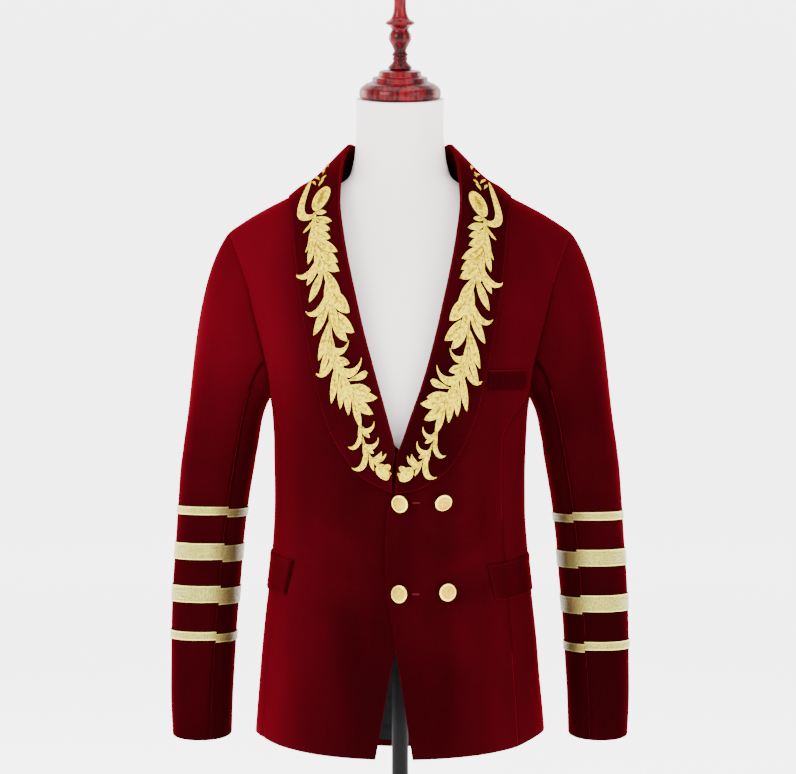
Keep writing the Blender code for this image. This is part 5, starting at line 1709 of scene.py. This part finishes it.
@dataclass
class Garland:
    """Leaf garland on each half of the collar: a stem, lobed leaves, crescents, tendrils and buds."""

    collar: Collar
    foot: float = 0.0015
    top: float = 0.354
    fullness: float = 1.30
    sway: float = 0.005
    # Leaf: share down the stem, hand, degrees off the way down, length, half width, degrees the tip turns
    leaf_rows: np.ndarray = sized(
        (0.02, 1, 3, 0.038, 0.0040, 4), (0.14, -1, 3, 0.042, 0.0044, 2), (0.27, 1, 6, 0.044, 0.0044, -6),
        (0.34, -1, 4, 0.044, 0.0042, 2), (0.45, 1, 9, 0.043, 0.0042, 2), (0.50, -1, 7, 0.043, 0.0042, 4),
        (0.60, -1, 4, 0.040, 0.0044, 2), (0.03, 1, 34, 0.021, 0.0013, 34), (0.04, 1, 9, 0.046, 0.0040, 8),
        (0.08, 1, 20, 0.027, 0.0013, 26), (0.11, 1, 18, 0.031, 0.0032, 10), (0.19, 1, 36, 0.033, 0.0038, 14),
        (0.23, 1, 35, 0.040, 0.0046, 18), (0.34, 1, 40, 0.043, 0.0054, 22), (0.41, 1, 33, 0.044, 0.0050, 16),
        (0.47, 1, 36, 0.041, 0.0038, 16), (0.55, 1, 25, 0.046, 0.0046, 14), (0.59, 1, 17, 0.042, 0.0046, 14),
        (0.63, 1, 11, 0.040, 0.0044, 12), (0.00, -1, 66, 0.016, 0.0028, 16),
        (0.02, -1, 52, 0.026, 0.0040, 18), (0.045, -1, 45, 0.027, 0.0040, 16),
        (0.07, -1, 40, 0.030, 0.0042, 16), (0.10, -1, 38, 0.043, 0.0046, 10),
        (0.125, -1, 32, 0.046, 0.0046, 10), (0.185, -1, 36, 0.037, 0.0048, 10),
        (0.225, -1, 17, 0.050, 0.0048, 10), (0.30, -1, 23, 0.052, 0.0062, 8),
        (0.375, -1, 27, 0.054, 0.0054, 8), (0.40, -1, 20, 0.045, 0.0044, 8),
        (0.54, -1, 40, 0.025, 0.0032, 10), (0.655, -1, 42, 0.037, 0.0048, 18),
        (0.67, -1, 36, 0.045, 0.0044, 24), (0.69, -1, 20, 0.041, 0.0044, 16),
        (0.695, 1, 3, 0.038, 0.0038, 6))
    # Crescent: share down the stem, hand, length, half width
    crescents: np.ndarray = sized(
        (0.185, 1, 0.044, 0.0040), (0.315, 1, 0.046, 0.0044), (0.505, -1, 0.032, 0.0034),
        (0.52, 1, 0.040, 0.0038), (0.585, -1, 0.043, 0.0044), (0.815, 1, 0.030, 0.0029),
        (0.805, -1, 0.027, 0.0026), (0.875, 1, 0.036, 0.0033), (0.860, -1, 0.027, 0.0026),
        (0.915, -1, 0.020, 0.0020))
    # Scroll at the top: height over the stem's top, distance off the collar's middle, half width
    scroll: np.ndarray = sized(
        (-0.005, 0.002, 0.0030), (-0.005, 0.009, 0.0046), (-0.001, 0.0155, 0.0056), (0.007, 0.0180, 0.0056),
        (0.018, 0.0165, 0.0048), (0.031, 0.0125, 0.0042), (0.046, 0.0080, 0.0036), (0.061, 0.0045, 0.0024),
        (0.074, 0.0020, 0.0006))
    # Small leaf towards the neck: height over the stem's top, distance off, hand, degrees, length, half width
    sprigs: np.ndarray = sized(
        (0.050, -0.009, -1, 150, 0.013, 0.0018), (0.055, -0.004, 1, 168, 0.011, 0.0016),
        (0.062, -0.013, -1, 128, 0.010, 0.0015), (0.066, -0.010, 1, 160, 0.015, 0.0019),
        (0.078, -0.017, -1, 158, 0.009, 0.0013), (0.080, -0.020, 1, 140, 0.010, 0.0014),
        (0.090, -0.026, -1, 166, 0.008, 0.0011), (0.093, -0.028, 1, 150, 0.007, 0.0010))

    def middle(self, share: Any) -> tuple[np.ndarray, np.ndarray]:
        """The stem's length along the collar and off its middle, a slow sine wave."""
        share = np.asarray(share, float)
        return self.top - (self.top - self.foot) * share, self.sway * np.sin(2 * math.pi * 2.5 * share)

    def leaf(self, start: tuple[Any, Any], hand: int, heading: float, length: float, half: float, bend: float,
             rows: int = 14, lift: float = 0.0009, pod: float = 0.0) -> Frond:
        """A pointed leaf whose heading turns by bend * t^1.5 from its root to its tip.

        Its half width is half * sin(pi * t^1.2)^0.85, wider near its tip by the share pod.

        Args:
            start: Its root's length along the collar and off its middle.
            hand: 1 to the collar's outer edge, -1 to the roll line.
            heading: Degrees off the stem's way down at the root.
            length: Its length.
            half: Its half width.
            bend: Degrees by which it turns.
            rows: Points along it.
            lift: Gap under it at its root.
            pod: How far its tip is swollen to a round end.

        Returns:
            The leaf.
        """
        t = np.linspace(0, 1, rows)
        turn = np.radians(heading + bend * t**1.5)
        step = length / (rows - 1)
        run = start[0] - np.concatenate([[0], np.cumsum(np.cos(turn[:-1]) * step)])
        off = start[1] + hand * np.concatenate([[0], np.cumsum(np.sin(turn[:-1]) * step)])
        width = half * np.maximum(np.sin(math.pi * t ** (1.2 + 1.6 * pod)), 0) ** (0.85 - 0.3 * pod) + 0.0004
        return Frond(run, off, width, lift + 0.0010 * t * (1 - 0.3 * t))

    def crescent(self, share: float, hand: int, length: float, half: float) -> Frond:
        """A horn that leaves the stem downwards and curls out and up to a point, fullest at a third."""
        frond = self.leaf(self.middle(share), hand, 30, length, half, 132, 20, 0.0024)
        t = np.linspace(0, 1, 20)
        frond.half = 1.12 * half * (0.35 + 0.65 * np.sin(math.pi * t**0.85) ** 0.8) * (1 - t**4) + 0.0003
        frond.rib, frond.arch = 0.30, 0.0009
        return frond

    def bud(self, run: float, off: float, heading: float, length: float, half: float, heart: float) -> Frond:
        """An oval of stitching with a darker heart: half * sqrt(1 - (2t - 1)^2) wide."""
        t = 0.5 - 0.5 * np.cos(np.linspace(0, math.pi, 15))
        turn = math.radians(heading)
        width = half * np.sqrt(np.maximum(1 - (2 * t - 1) ** 2, 0)) + 0.0003
        run, off = run - math.cos(turn) * length * t, off + math.sin(turn) * length * t
        return Frond(run, off, width, 0.0021, 0.0020, rib=0.0, heart=heart)

    def stem(self) -> Frond:
        """The stem, thinner towards the foot."""
        share = np.linspace(0, 1, 120)
        run, off = self.middle(share)
        return Frond(run, off, 0.0024 - 0.0010 * share, 0.0005, 0.0010, rib=0.7)

    def leaves(self) -> list[Frond]:
        """The leaves, those further down a little higher, then the crescents and a round pod on top.

        Returns:
            The fronds.
        """
        fronds = [self.leaf(self.middle(share), int(hand), heading, length, half * self.fullness, bend,
                            lift=0.0007 + 0.0003 * (number % 4))
                  for number, (share, hand, heading, length, half, bend) in enumerate(self.leaf_rows)]
        fronds += [self.crescent(share, int(hand), length, half)
                   for share, hand, length, half in self.crescents]
        fronds.append(self.leaf(self.middle(0.635), -1, 66, 0.034, 0.0044, 14, lift=0.0024, pod=1.0))
        for number, share in enumerate((0.79, 0.85, 0.90)):
            size = 1 - 0.12 * number
            fronds += [self.leaf(self.middle(share), hand, 14 + 4 * hand, 0.023 * size, 0.0030 * size, 14)
                       for hand in (-1, 1)]
        return fronds

    def ends(self) -> list[Frond]:
        """A round bud, loops and tendrils at the foot, and a bud, a scroll and small leaves up to the neck.

        Returns:
            The fronds.
        """
        run, off = self.middle(0.95)
        fronds = [self.leaf((run, off), -1, 26, 0.018, 0.0028, 24),
                  self.leaf((run, off), 1, 8, 0.017, 0.0026, -34),
                  self.leaf((run + 0.012, off), -1, 60, 0.016, 0.0019, 60, lift=0.0016),
                  self.leaf((run + 0.004, off - 0.003), -1, 72, 0.015, 0.0017, 40, lift=0.0014),
                  self.bud(run + 0.002, off - 0.001, 14, 0.0180, 0.0088, 0.45),
                  self.leaf((run - 0.004, off - 0.004), -1, 52, 0.014, 0.0016, -50, lift=0.0050)]
        run, off = self.middle(0.0)
        fronds.append(self.bud(run + 0.0395, off - 0.0200, 26, 0.0425, 0.0110, 1.0))
        t = np.linspace(0, len(self.scroll) - 1, 34)
        rows = np.column_stack([np.arange(len(self.scroll)), self.scroll])
        path = [smooth(rows, t, column) for column in (1, 2, 3)]
        fronds.append(Frond(run + path[0], off + path[1], path[2], 0.0014, 0.0016, rib=0.25))
        fronds += [self.leaf((run + high, off + out), int(hand), heading, length, half, -24, 10)
                   for high, out, hand, heading, length, half in self.sprigs]
        return fronds

    def build(self, stitch: bpy.types.Material) -> list[bpy.types.Object]:
        """Joins each side's fronds into one piece.

        Args:
            stitch: Its finish.

        Returns:
            The pieces.
        """
        pieces = []
        for side in Side:
            ground = Ground(self.collar, side)
            points, faces, cloth, edge, rib, start = [], [], [], [], [], 0
            for frond in [self.stem(), *self.leaves(), *self.ends()]:
                parts = frond.grids(ground)
                index = numbered(*parts["edge"].shape) + start
                loop = border(index)
                after = np.roll(loop, -1)
                rim = np.stack([loop, after, after + index.size, loop + index.size], axis=-1)
                faces.append(np.concatenate([quads(index), quads(index + index.size)[:, ::-1], rim[:, ::-1]]))
                points += [parts["upper"].reshape(-1, 3), parts["lower"].reshape(-1, 3)]
                for kept, word in ((cloth, "cloth"), (edge, "edge"), (rib, "rib")):
                    kept += [parts[word].reshape(index.size, -1)] * 2
                start += 2 * index.size
            faces = np.concatenate(faces)
            if side is Side.LEFT:
                faces = faces[:, ::-1]
            numbers = {"edge": np.concatenate(edge), "rib": np.concatenate(rib)}
            thing = put_mesh(f"garland_stitch_{side.word}", np.concatenate(points), faces,
                             np.concatenate(cloth), numbers)
            thing.data.materials.append(stitch)
            pieces.append(dress(thing, f"garland_{side.word}"))
        return pieces


# What lies on the fronts

@dataclass
class Fittings:
    """The breast welt, the pocket flaps, the buttons and their buttonholes."""

    trunk: Trunk
    radius: float = 0.011
    flap_rise: float = 0.011
    flap_depth: float = 0.045
    flap_wall: float = 0.0013
    flap_lift: float = 0.0007
    flap_corner: float = 0.0015
    shank: float = 0.0044
    button_gap: float = 0.0006
    hole_length: float = 0.0100
    hole_beside: float = 0.0125
    # Distance out, height, and degrees by which it is swung sideways and nodded down
    buttons: tuple[tuple[float, float, float, float], ...] = (
        (0.0023, 0.562, -28, 9), (0.0511, 0.5647, 6, 24), (0.0018, 0.4497, -29, 0), (0.0563, 0.4521, 4, 3))
    welt: tuple[tuple[float, float], tuple[float, float]] = ((0.1085, 0.700), (0.157, 0.726))
    # Distance out and height of the flap's front corner, degrees round to its back
    flaps: dict[Side, tuple[float, float, float]] = field(default_factory=lambda: {
        Side.LEFT: (0.1085, 0.4830, 20), Side.RIGHT: (0.1315, 0.4880, 38)})

    def build_welt(self, velvet: bpy.types.Material) -> bpy.types.Object:
        """The breast welt: the front's own surface between two corners, moved out."""
        low, high = self.welt
        u, v = spans(evenly(high[0] - low[0], 0.0022), evenly(high[1] - low[1], 0.0018))
        points = self.trunk.on_front(low[0] + (high[0] - low[0]) * u,
                                     low[1] + (high[1] - low[1]) * v + 0.0015 * u, Side.LEFT)
        normal = axis_normals(points)
        raised = points + normal * (self.flap_lift + self.flap_wall + 0.0007 * np.sin(math.pi * v))[..., None]
        # Painted shade over the welt, with a painted highlight along its top edge
        thing = Shell(raised, normal, self.flap_wall).build(
            "welt_velvet", velvet, None, {"painted_shading": lips(-0.33, raised, "d", 0.0015, 0.75)})
        return dress(thing, "breast_welt")

    def build_flap(self, side: Side, velvet: bpy.types.Material,
                   lining: bpy.types.Material) -> bpy.types.Object:
        """A flap that hangs from the slanting pocket mouth and wraps round the side.

        Args:
            side: The wearer's side.
            velvet: Finish of its outside.
            lining: Finish of its back.

        Returns:
            The piece.
        """
        front_out, front_top, back_angle = self.flaps[side]
        u, v = spans(evenly(0.12, 0.0026), evenly(self.flap_depth, 0.0026))
        start = self.trunk.ring_angle(front_out + 0.007 * v, front_top + 0 * u, Face.FRONT)
        angle = start + (math.radians(back_angle) - start) * u
        corner = self.flap_corner * ramp(0.12 - u, 0, 0.12) * v
        z = front_top + self.flap_rise * ramp(u, -0.1, 0.7) - (self.flap_depth - corner) * v
        points = self.trunk.ring(angle, z, side)
        normal = axis_normals(points)
        swell = 0.0012 * np.sin(math.pi * u) * v + 0.0006 * bell(v * self.flap_depth - 0.004, 0.003)
        thinning = 1 - 0.5 * ramp(u, 0.35, 0.75)
        raised = points + normal * ((self.flap_lift + self.flap_wall) * thinning + swell)[..., None]
        # Painted light and shade: the left flap darker and the right one lighter, with painted highlights
        # along the back, top and bottom edges; along the front edge a faint painted highlight on the left
        # flap and painted shade on the right
        painted_shading = lips(-0.24 if side is Side.LEFT else 0.06, raised, "bcd", 0.0013, 0.26)
        painted_shading = lips(painted_shading, raised, "a", 0.0050, 0.10 if side is Side.LEFT else -0.75)
        shell = Shell(raised, normal, self.flap_wall * thinning)
        thing = shell.build(f"flap_velvet_{side.word}", velvet, lining, {"painted_shading": painted_shading})
        return dress(thing, f"flap_{side.word}")

    def build_button(self, number: int, gilt: bpy.types.Material) -> bpy.types.Object:
        """A domed button: a shank, a turned-over rim, a groove and a crown, which hangs a little askew.

        Args:
            number: The button's number.
            gilt: Its finish.

        Returns:
            The piece.
        """
        out, z, swing, nod = self.buttons[number - 1]
        near = self.trunk.on_front(np.array([out, out + 0.004, out]), np.array([z, z, z + 0.004]), Side.LEFT)
        square = unit(np.cross(near[1] - near[0], near[2] - near[0]))
        s, c, t, d = (f(math.radians(a)) for a in (swing, nod) for f in (math.sin, math.cos))
        swung = np.array([(c, -s, 0), (s, c, 0), (0, 0, 1)])
        nodded = np.array([(1, 0, 0), (0, d, -t), (0, t, d)])
        normal = swung @ nodded @ square
        across = unit(np.cross((0, 0, 1), normal))
        place = np.eye(4)
        place[:3, :3] = np.column_stack([across, np.cross(normal, across), normal])
        r = self.radius
        tilt = math.acos(min(1.0, float(normal @ square)))
        place[:3, 3] = near[0] + square * (self.button_gap + 0.25 * r * tilt)
        turn = np.linspace(-0.5 * math.pi, 0.62 * math.pi, 12)
        rim = np.column_stack([r - 0.0011 + 0.0011 * np.cos(turn), 0.0029 + 0.0011 * np.sin(turn)])
        dome = np.linspace(0.84, 0.02, 22)
        crown_z = 0.0031 + 0.0031 * (1 - dome**2) + 0.0002 * bell(dome - 0.62, 0.05)
        crown = np.column_stack([r * dome, crown_z])
        shank = table((0.0004, 0), (0.25 * r, 0.0001), (0.20 * r, 0.0008), (0.20 * r, self.shank + 0.0004))
        profile = np.concatenate([shank, rim + (0, self.shank - 0.0010), crown + (0, self.shank - 0.0010)])
        on_rim = np.concatenate([np.ones(len(shank) + len(rim)), ramp(dome, 0.76, 0.84)])
        thing = turned(f"button_gilt_{number}", profile, gilt, place, 64, {"edge": on_rim})
        return dress(thing, f"button_{number}")

    def build_buttonhole(self, number: int, silk: bpy.types.Material) -> bpy.types.Object:
        """A worked buttonhole beside a button: a bar of stitches, a low half tube on the cloth.

        Args:
            number: The button that it belongs to.
            silk: Its finish.

        Returns:
            The piece.
        """
        out, z = self.buttons[number - 1][0] + self.hole_beside, self.buttons[number - 1][1]
        u, v = spans(np.linspace(0, 1, 9), evenly(self.hole_length, 0.0005))
        stitches = 0.75 + 0.25 * np.cos(2 * math.pi * v * 10)
        half = 0.0016 * stitches * np.sqrt(np.maximum(1 - (2 * v - 1) ** 8, 0.05))
        points = self.trunk.on_front(out + self.hole_length * v, z + (u - 0.5) * 2 * half, Side.LEFT)
        normal = axis_normals(points)
        raised = points + normal * (0.0005 + 0.0006 * np.sin(math.pi * u))[..., None]
        thing = Shell(raised, normal, 0.0004, 2).build(f"buttonhole_{number}", silk)
        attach(thing, "root")
        return thing

    def build(self, velvet: bpy.types.Material, lining: bpy.types.Material, gilt: bpy.types.Material,
              silk: bpy.types.Material) -> list[bpy.types.Object]:
        """Makes everything that lies on the fronts."""
        pieces = [self.build_welt(velvet), *(self.build_flap(side, velvet, lining) for side in Side)]
        pieces += [self.build_button(number, gilt) for number in range(1, len(self.buttons) + 1)]
        return pieces + [self.build_buttonhole(number, silk) for number in (1, 3)]


# Dress form and stand

@dataclass
class DressForm:
    """A limbless form in jersey with a turned wooden cap and finial, on a pole and a round foot."""

    power: float = 2.4
    neck_top: float = 1.074
    tilt: float = math.radians(12)
    gap: float = 0.0003
    pole_radius: float = 0.0105
    base_radius: float = 0.17
    base_height: float = 0.022
    axis: float = 0.0004
    closing: tuple[float, float] = (0.97, 0.985)
    # Height, half width, depth of the front, depth of the back
    sections: np.ndarray = sized(
        (0.420, 0.150, 0.098, 0.098), (0.460, 0.153, 0.101, 0.098), (0.560, 0.147, 0.097, 0.087),
        (0.650, 0.149, 0.104, 0.094), (0.700, 0.153, 0.109, 0.100), (0.780, 0.158, 0.108, 0.102),
        (0.840, 0.162, 0.096, 0.096), (0.880, 0.158, 0.082, 0.088), (0.910, 0.144, 0.068, 0.078),
        (0.935, 0.121, 0.058, 0.068), (0.955, 0.0930, 0.053, 0.0610), (0.970, 0.0690, 0.053, 0.0570),
        (0.990, 0.0600, 0.054, 0.057), (1.010, 0.0570, 0.054, 0.055), (1.074, 0.0560, 0.054, 0.054))
    # Radius, height
    cap: np.ndarray = sized(
        (0.0500, 0.0), (0.0522, 0.003), (0.0524, 0.009), (0.0505, 0.014), (0.0440, 0.019), (0.0355, 0.022),
        (0.0355, 0.027), (0.0275, 0.029), (0.0270, 0.035), (0.0180, 0.037))
    finial: np.ndarray = sized(
        (0.0150, 0.0), (0.0156, 0.003), (0.0100, 0.008), (0.0085, 0.011), (0.0100, 0.0135), (0.0085, 0.0160),
        (0.0110, 0.0188), (0.0082, 0.0215), (0.0080, 0.025), (0.0110, 0.031), (0.0148, 0.038),
        (0.0140, 0.044), (0.0105, 0.050), (0.0120, 0.054), (0.0190, 0.0575), (0.0185, 0.0600),
        (0.0110, 0.064), (0.0080, 0.075), (0.0078, 0.092), (0.0100, 0.096), (0.0100, 0.104),
        (0.0060, 0.110))

    def tilted(self, height: float) -> np.ndarray:
        """The place of a turned piece at a height above the neck's slanting top."""
        cos, sin = math.cos(self.tilt), math.sin(self.tilt)
        return np.array([(1, 0, 0, 0), (0, cos, -sin, -height * sin),
                         (0, sin, cos, self.neck_top + height * cos), (0, 0, 0, 1)])

    def torso(self, linen: bpy.types.Material) -> bpy.types.Object:
        """The form's body: the trunk's kind of oval at each height, and a neck cut off at a slant."""
        z = np.concatenate([np.linspace(0.42, 0.84, 60), np.linspace(0.845, self.neck_top, 70)])[:, None]
        angle = np.linspace(0, 2 * math.pi, 144, endpoint=False)[None]
        power = 2.0 + (self.power - 2.0) * (1 - ramp(z, 0.86, 0.93))
        depth = np.where(np.sin(angle) < 0, smooth(self.sections, z, 2), smooth(self.sections, z, 3))
        x = smooth(self.sections, z, 1) * squarer(np.cos(angle), power)
        y = depth * squarer(np.sin(angle), power)
        lean = math.tan(self.tilt) * y * ramp(z, 0.985, self.neck_top)
        rings = np.stack([x, y, z + lean], axis=-1)
        foot = [rings[0] * (share, share, 1) for share in self.closing]
        top = [rings[-1] * (share, share, 1) for share in self.closing[::-1]]
        return ringed("torso_jersey", np.concatenate([np.stack(foot), rings, np.stack(top)]), linen)

    def build(self, linen: bpy.types.Material, wood: bpy.types.Material,
              iron: bpy.types.Material) -> list[bpy.types.Object]:
        """Makes the form and its stand.

        Args:
            linen: Finish of the body.
            wood: Finish of the cap and finial.
            iron: Finish of the pole and foot.

        Returns:
            The pieces.
        """
        cap_top = self.gap + float(self.cap[-1, 1]) + self.gap
        cap = np.concatenate([table((self.axis, 0.0)), self.cap, table((self.axis, 0.0372))])
        finial = np.concatenate([table((self.axis, 0.0)), self.finial, table((self.axis, 0.1104))])
        pole_top = float(self.sections[0, 0]) - self.gap
        r, h = self.base_radius, self.base_height
        foot = table((self.axis, 0), (r - 0.001, 0), (r, 0.001), (r, 0.010), (r - 0.003, 0.0125),
                     (r - 0.012, 0.0155), (0.045, h - 0.0022), (0.030, h), (0.020, h), (self.axis, h))
        pole = table((self.axis, h + self.gap), (self.pole_radius, h + self.gap),
                     (self.pole_radius, pole_top), (self.axis, pole_top))
        on_neck, on_cap = self.tilted(self.gap), self.tilted(cap_top)
        made = [(self.torso(linen), "torso", "linen"),
                (turned("cap_wood", rounded(cap, 6), wood, on_neck), "cap", "mahogany"),
                (turned("finial_wood", rounded(finial, 6, 0.42), wood, on_cap), "finial", "mahogany"),
                (turned("pole_iron", rounded(pole, 4, 0.02), iron, None, 48), "pole", "black_metal"),
                (turned("base_iron", rounded(foot, 4, 0.2), iron, None, 128), "base", "black_metal")]
        return [dress(thing, f"form_{word}") for thing, word, slot in made]


# Studio

@dataclass
class Studio:
    """Pale floor and wall in one sweep, soft lights and the camera."""

    distance: float = 3.2
    eye: float = 0.705
    aside: float = -0.0026
    frame_width: float = 1.019
    sensor: float = 36.0
    air: float = 1.2
    sweep_front: float = -15.0
    sweep_bend: float = 7.0
    sweep_radius: float = 3.5
    sweep_top: float = 16.0
    sweep_half: float = 20.0
    sunk: float = 0.0002
    # Place, aim, size and power of each light
    lights: tuple[tuple[Any, Any, float, float], ...] = (
        ((-2.1, -2.2, 2.1), (0, 0, 0.75), 1.5, 110.0), ((2.2, -2.4, 1.7), (0, 0, 0.7), 1.8, 70.0),
        ((0.0, -0.5, 3.2), (0, 0, 0.6), 2.2, 70.0), ((-1.7, 1.1, 1.4), (0, 0, 0.75), 1.0, 40.0),
        ((1.7, 1.1, 1.4), (0, 0, 0.75), 1.0, 24.0))

    def sweep(self, finish: bpy.types.Material) -> bpy.types.Object:
        """A floor that curves up into a wall behind: a line, a quarter circle and a line."""
        turn = np.linspace(0, math.pi / 2, 25)
        r, bend = self.sweep_radius, self.sweep_bend
        y = np.concatenate([[self.sweep_front], bend + r * np.sin(turn), [bend + r]])
        z = np.concatenate([[0.0], r * (1 - np.cos(turn)), [self.sweep_top]])
        x = np.linspace(-self.sweep_half, self.sweep_half, 19)
        points = np.stack(np.broadcast_arrays(x[:, None], y[None], z[None] - self.sunk), axis=-1)
        thing = put_mesh("studio_floor", points.reshape(-1, 3), quads(numbered(*points.shape[:2])))
        thing.data.materials.append(finish)
        return thing

    def light(self, number: int, place: Any, aim: Any, size: float, power: float) -> None:
        """A square soft light turned to what it lights."""
        lamp = bpy.data.lights.new(f"soft_light_{number}", "AREA")
        lamp.shape, lamp.size, lamp.energy = "SQUARE", size, power
        thing = bpy.data.objects.new(lamp.name, lamp)
        bpy.context.scene.collection.objects.link(thing)
        back = unit(np.array(place, float) - np.array(aim, float))
        right = unit(np.cross((0, 0, 1), back)) if abs(back[2]) < 0.99 else np.array((1.0, 0, 0))
        turn = np.eye(4)
        turn[:3, :3] = np.column_stack([right, np.cross(back, right), back])
        turn[:3, 3] = place
        thing.matrix_world = turn.T.tolist()

    def build(self, finish: bpy.types.Material) -> None:
        """Sets the floor, the lights, the pale surroundings and the camera."""
        self.sweep(finish)
        for number, row in enumerate(self.lights, 1):
            self.light(number, *row)
        world = bpy.data.worlds.new("studio_air")
        world.use_nodes = True
        world.node_tree.nodes["Background"].inputs["Color"].default_value = (1, 1, 1, 1)
        world.node_tree.nodes["Background"].inputs["Strength"].default_value = self.air
        bpy.context.scene.world = world
        lens = bpy.data.cameras.new("camera")
        lens.sensor_width = self.sensor
        lens.lens = self.sensor * self.distance / self.frame_width
        camera = bpy.data.objects.new("camera", lens)
        camera.location = (self.aside, -self.distance, self.eye)
        camera.rotation_euler = (math.pi / 2, 0, 0)
        bpy.context.scene.collection.objects.link(camera)
        bpy.context.scene.camera = camera


@dataclass(frozen=True)
class Cut:
    """A piece of cloth on each side: its width, length and area when flat, how it is held, and on what."""

    word: str
    left: tuple[float, float, float]
    right: tuple[float, float, float]
    held: str
    rests_on: tuple[str, ...]

    def declare(self, pieces: dict[str, bpy.types.Object]) -> None:
        """Does nothing; the cut of both sides is not stated.

        Args:
            pieces: Not used.
        """


CUTS = (
    Cut("front_velvet", (0.168, 0.810, 0.1120), (0.205, 0.825, 0.1255), "draped", ("form_torso",)),
    Cut("back_velvet", (0.274, 0.808, 0.1355), (0.274, 0.808, 0.1355), "draped", ("form_torso",)),
    Cut("side_velvet", (0.186, 0.476, 0.0695), (0.146, 0.471, 0.0546), "draped",
        ("front_{side}", "back_{side}")),
    Cut("topsleeve_velvet", (0.318, 0.648, 0.1140), (0.318, 0.648, 0.1140), "hung",
        ("front_{side}", "back_{side}")),
    Cut("undersleeve_velvet", (0.235, 0.559, 0.0758), (0.235, 0.559, 0.0758), "hung", ("topsleeve_{side}",)),
    Cut("collar_velvet", (0.122, 0.692, 0.0529), (0.122, 0.675, 0.0518), "folded",
        ("front_{side}", "back_{side}")),
    Cut("garland_stitch", (0.064, 0.430, 0.0160), (0.064, 0.430, 0.0160), "laid", ("collar_{side}",)),
    Cut("flap_velvet", (0.165, 0.046, 0.0075), (0.172, 0.046, 0.0078), "laid",
        ("front_{side}", "side_{side}")),
)


def declare_cloth(pieces: dict[str, bpy.types.Object]) -> None:
    """Calls each cut's declare, which does nothing.

    Args:
        pieces: The pieces by name.
    """
    for cut in CUTS:
        cut.declare(pieces)


def main() -> None:
    """Builds every piece in order and reports each."""
    logging.basicConfig(level=logging.INFO, format="%(message)s")
    velvet, lining, braid = Velvet().material(), Lining().material(), Braid().material()
    trunk = Trunk()
    pieces = trunk.build(velvet, lining)
    pieces.append(trunk.build_lining(lining))
    pieces += Sleeves(trunk).build(velvet, lining, braid)
    collar = Collar(trunk)
    pieces += collar.build(velvet)
    pieces += Garland(collar).build(SatinStitch().material())
    pieces += Fittings(trunk).build(velvet, lining, Gilt().material(), SilkThread().material())
    pieces += DressForm().build(Linen().material(), Mahogany().material(), BlackIron().material())
    Studio().build(Plaster().material())
    declare_cloth({thing.name: thing for thing in pieces})
    for thing in pieces:
        triangles = sum(len(face.vertices) - 2 for face in thing.data.polygons)
        log.info("%s: %d triangles", thing.name, triangles)


if __name__ == "__main__":
    main()
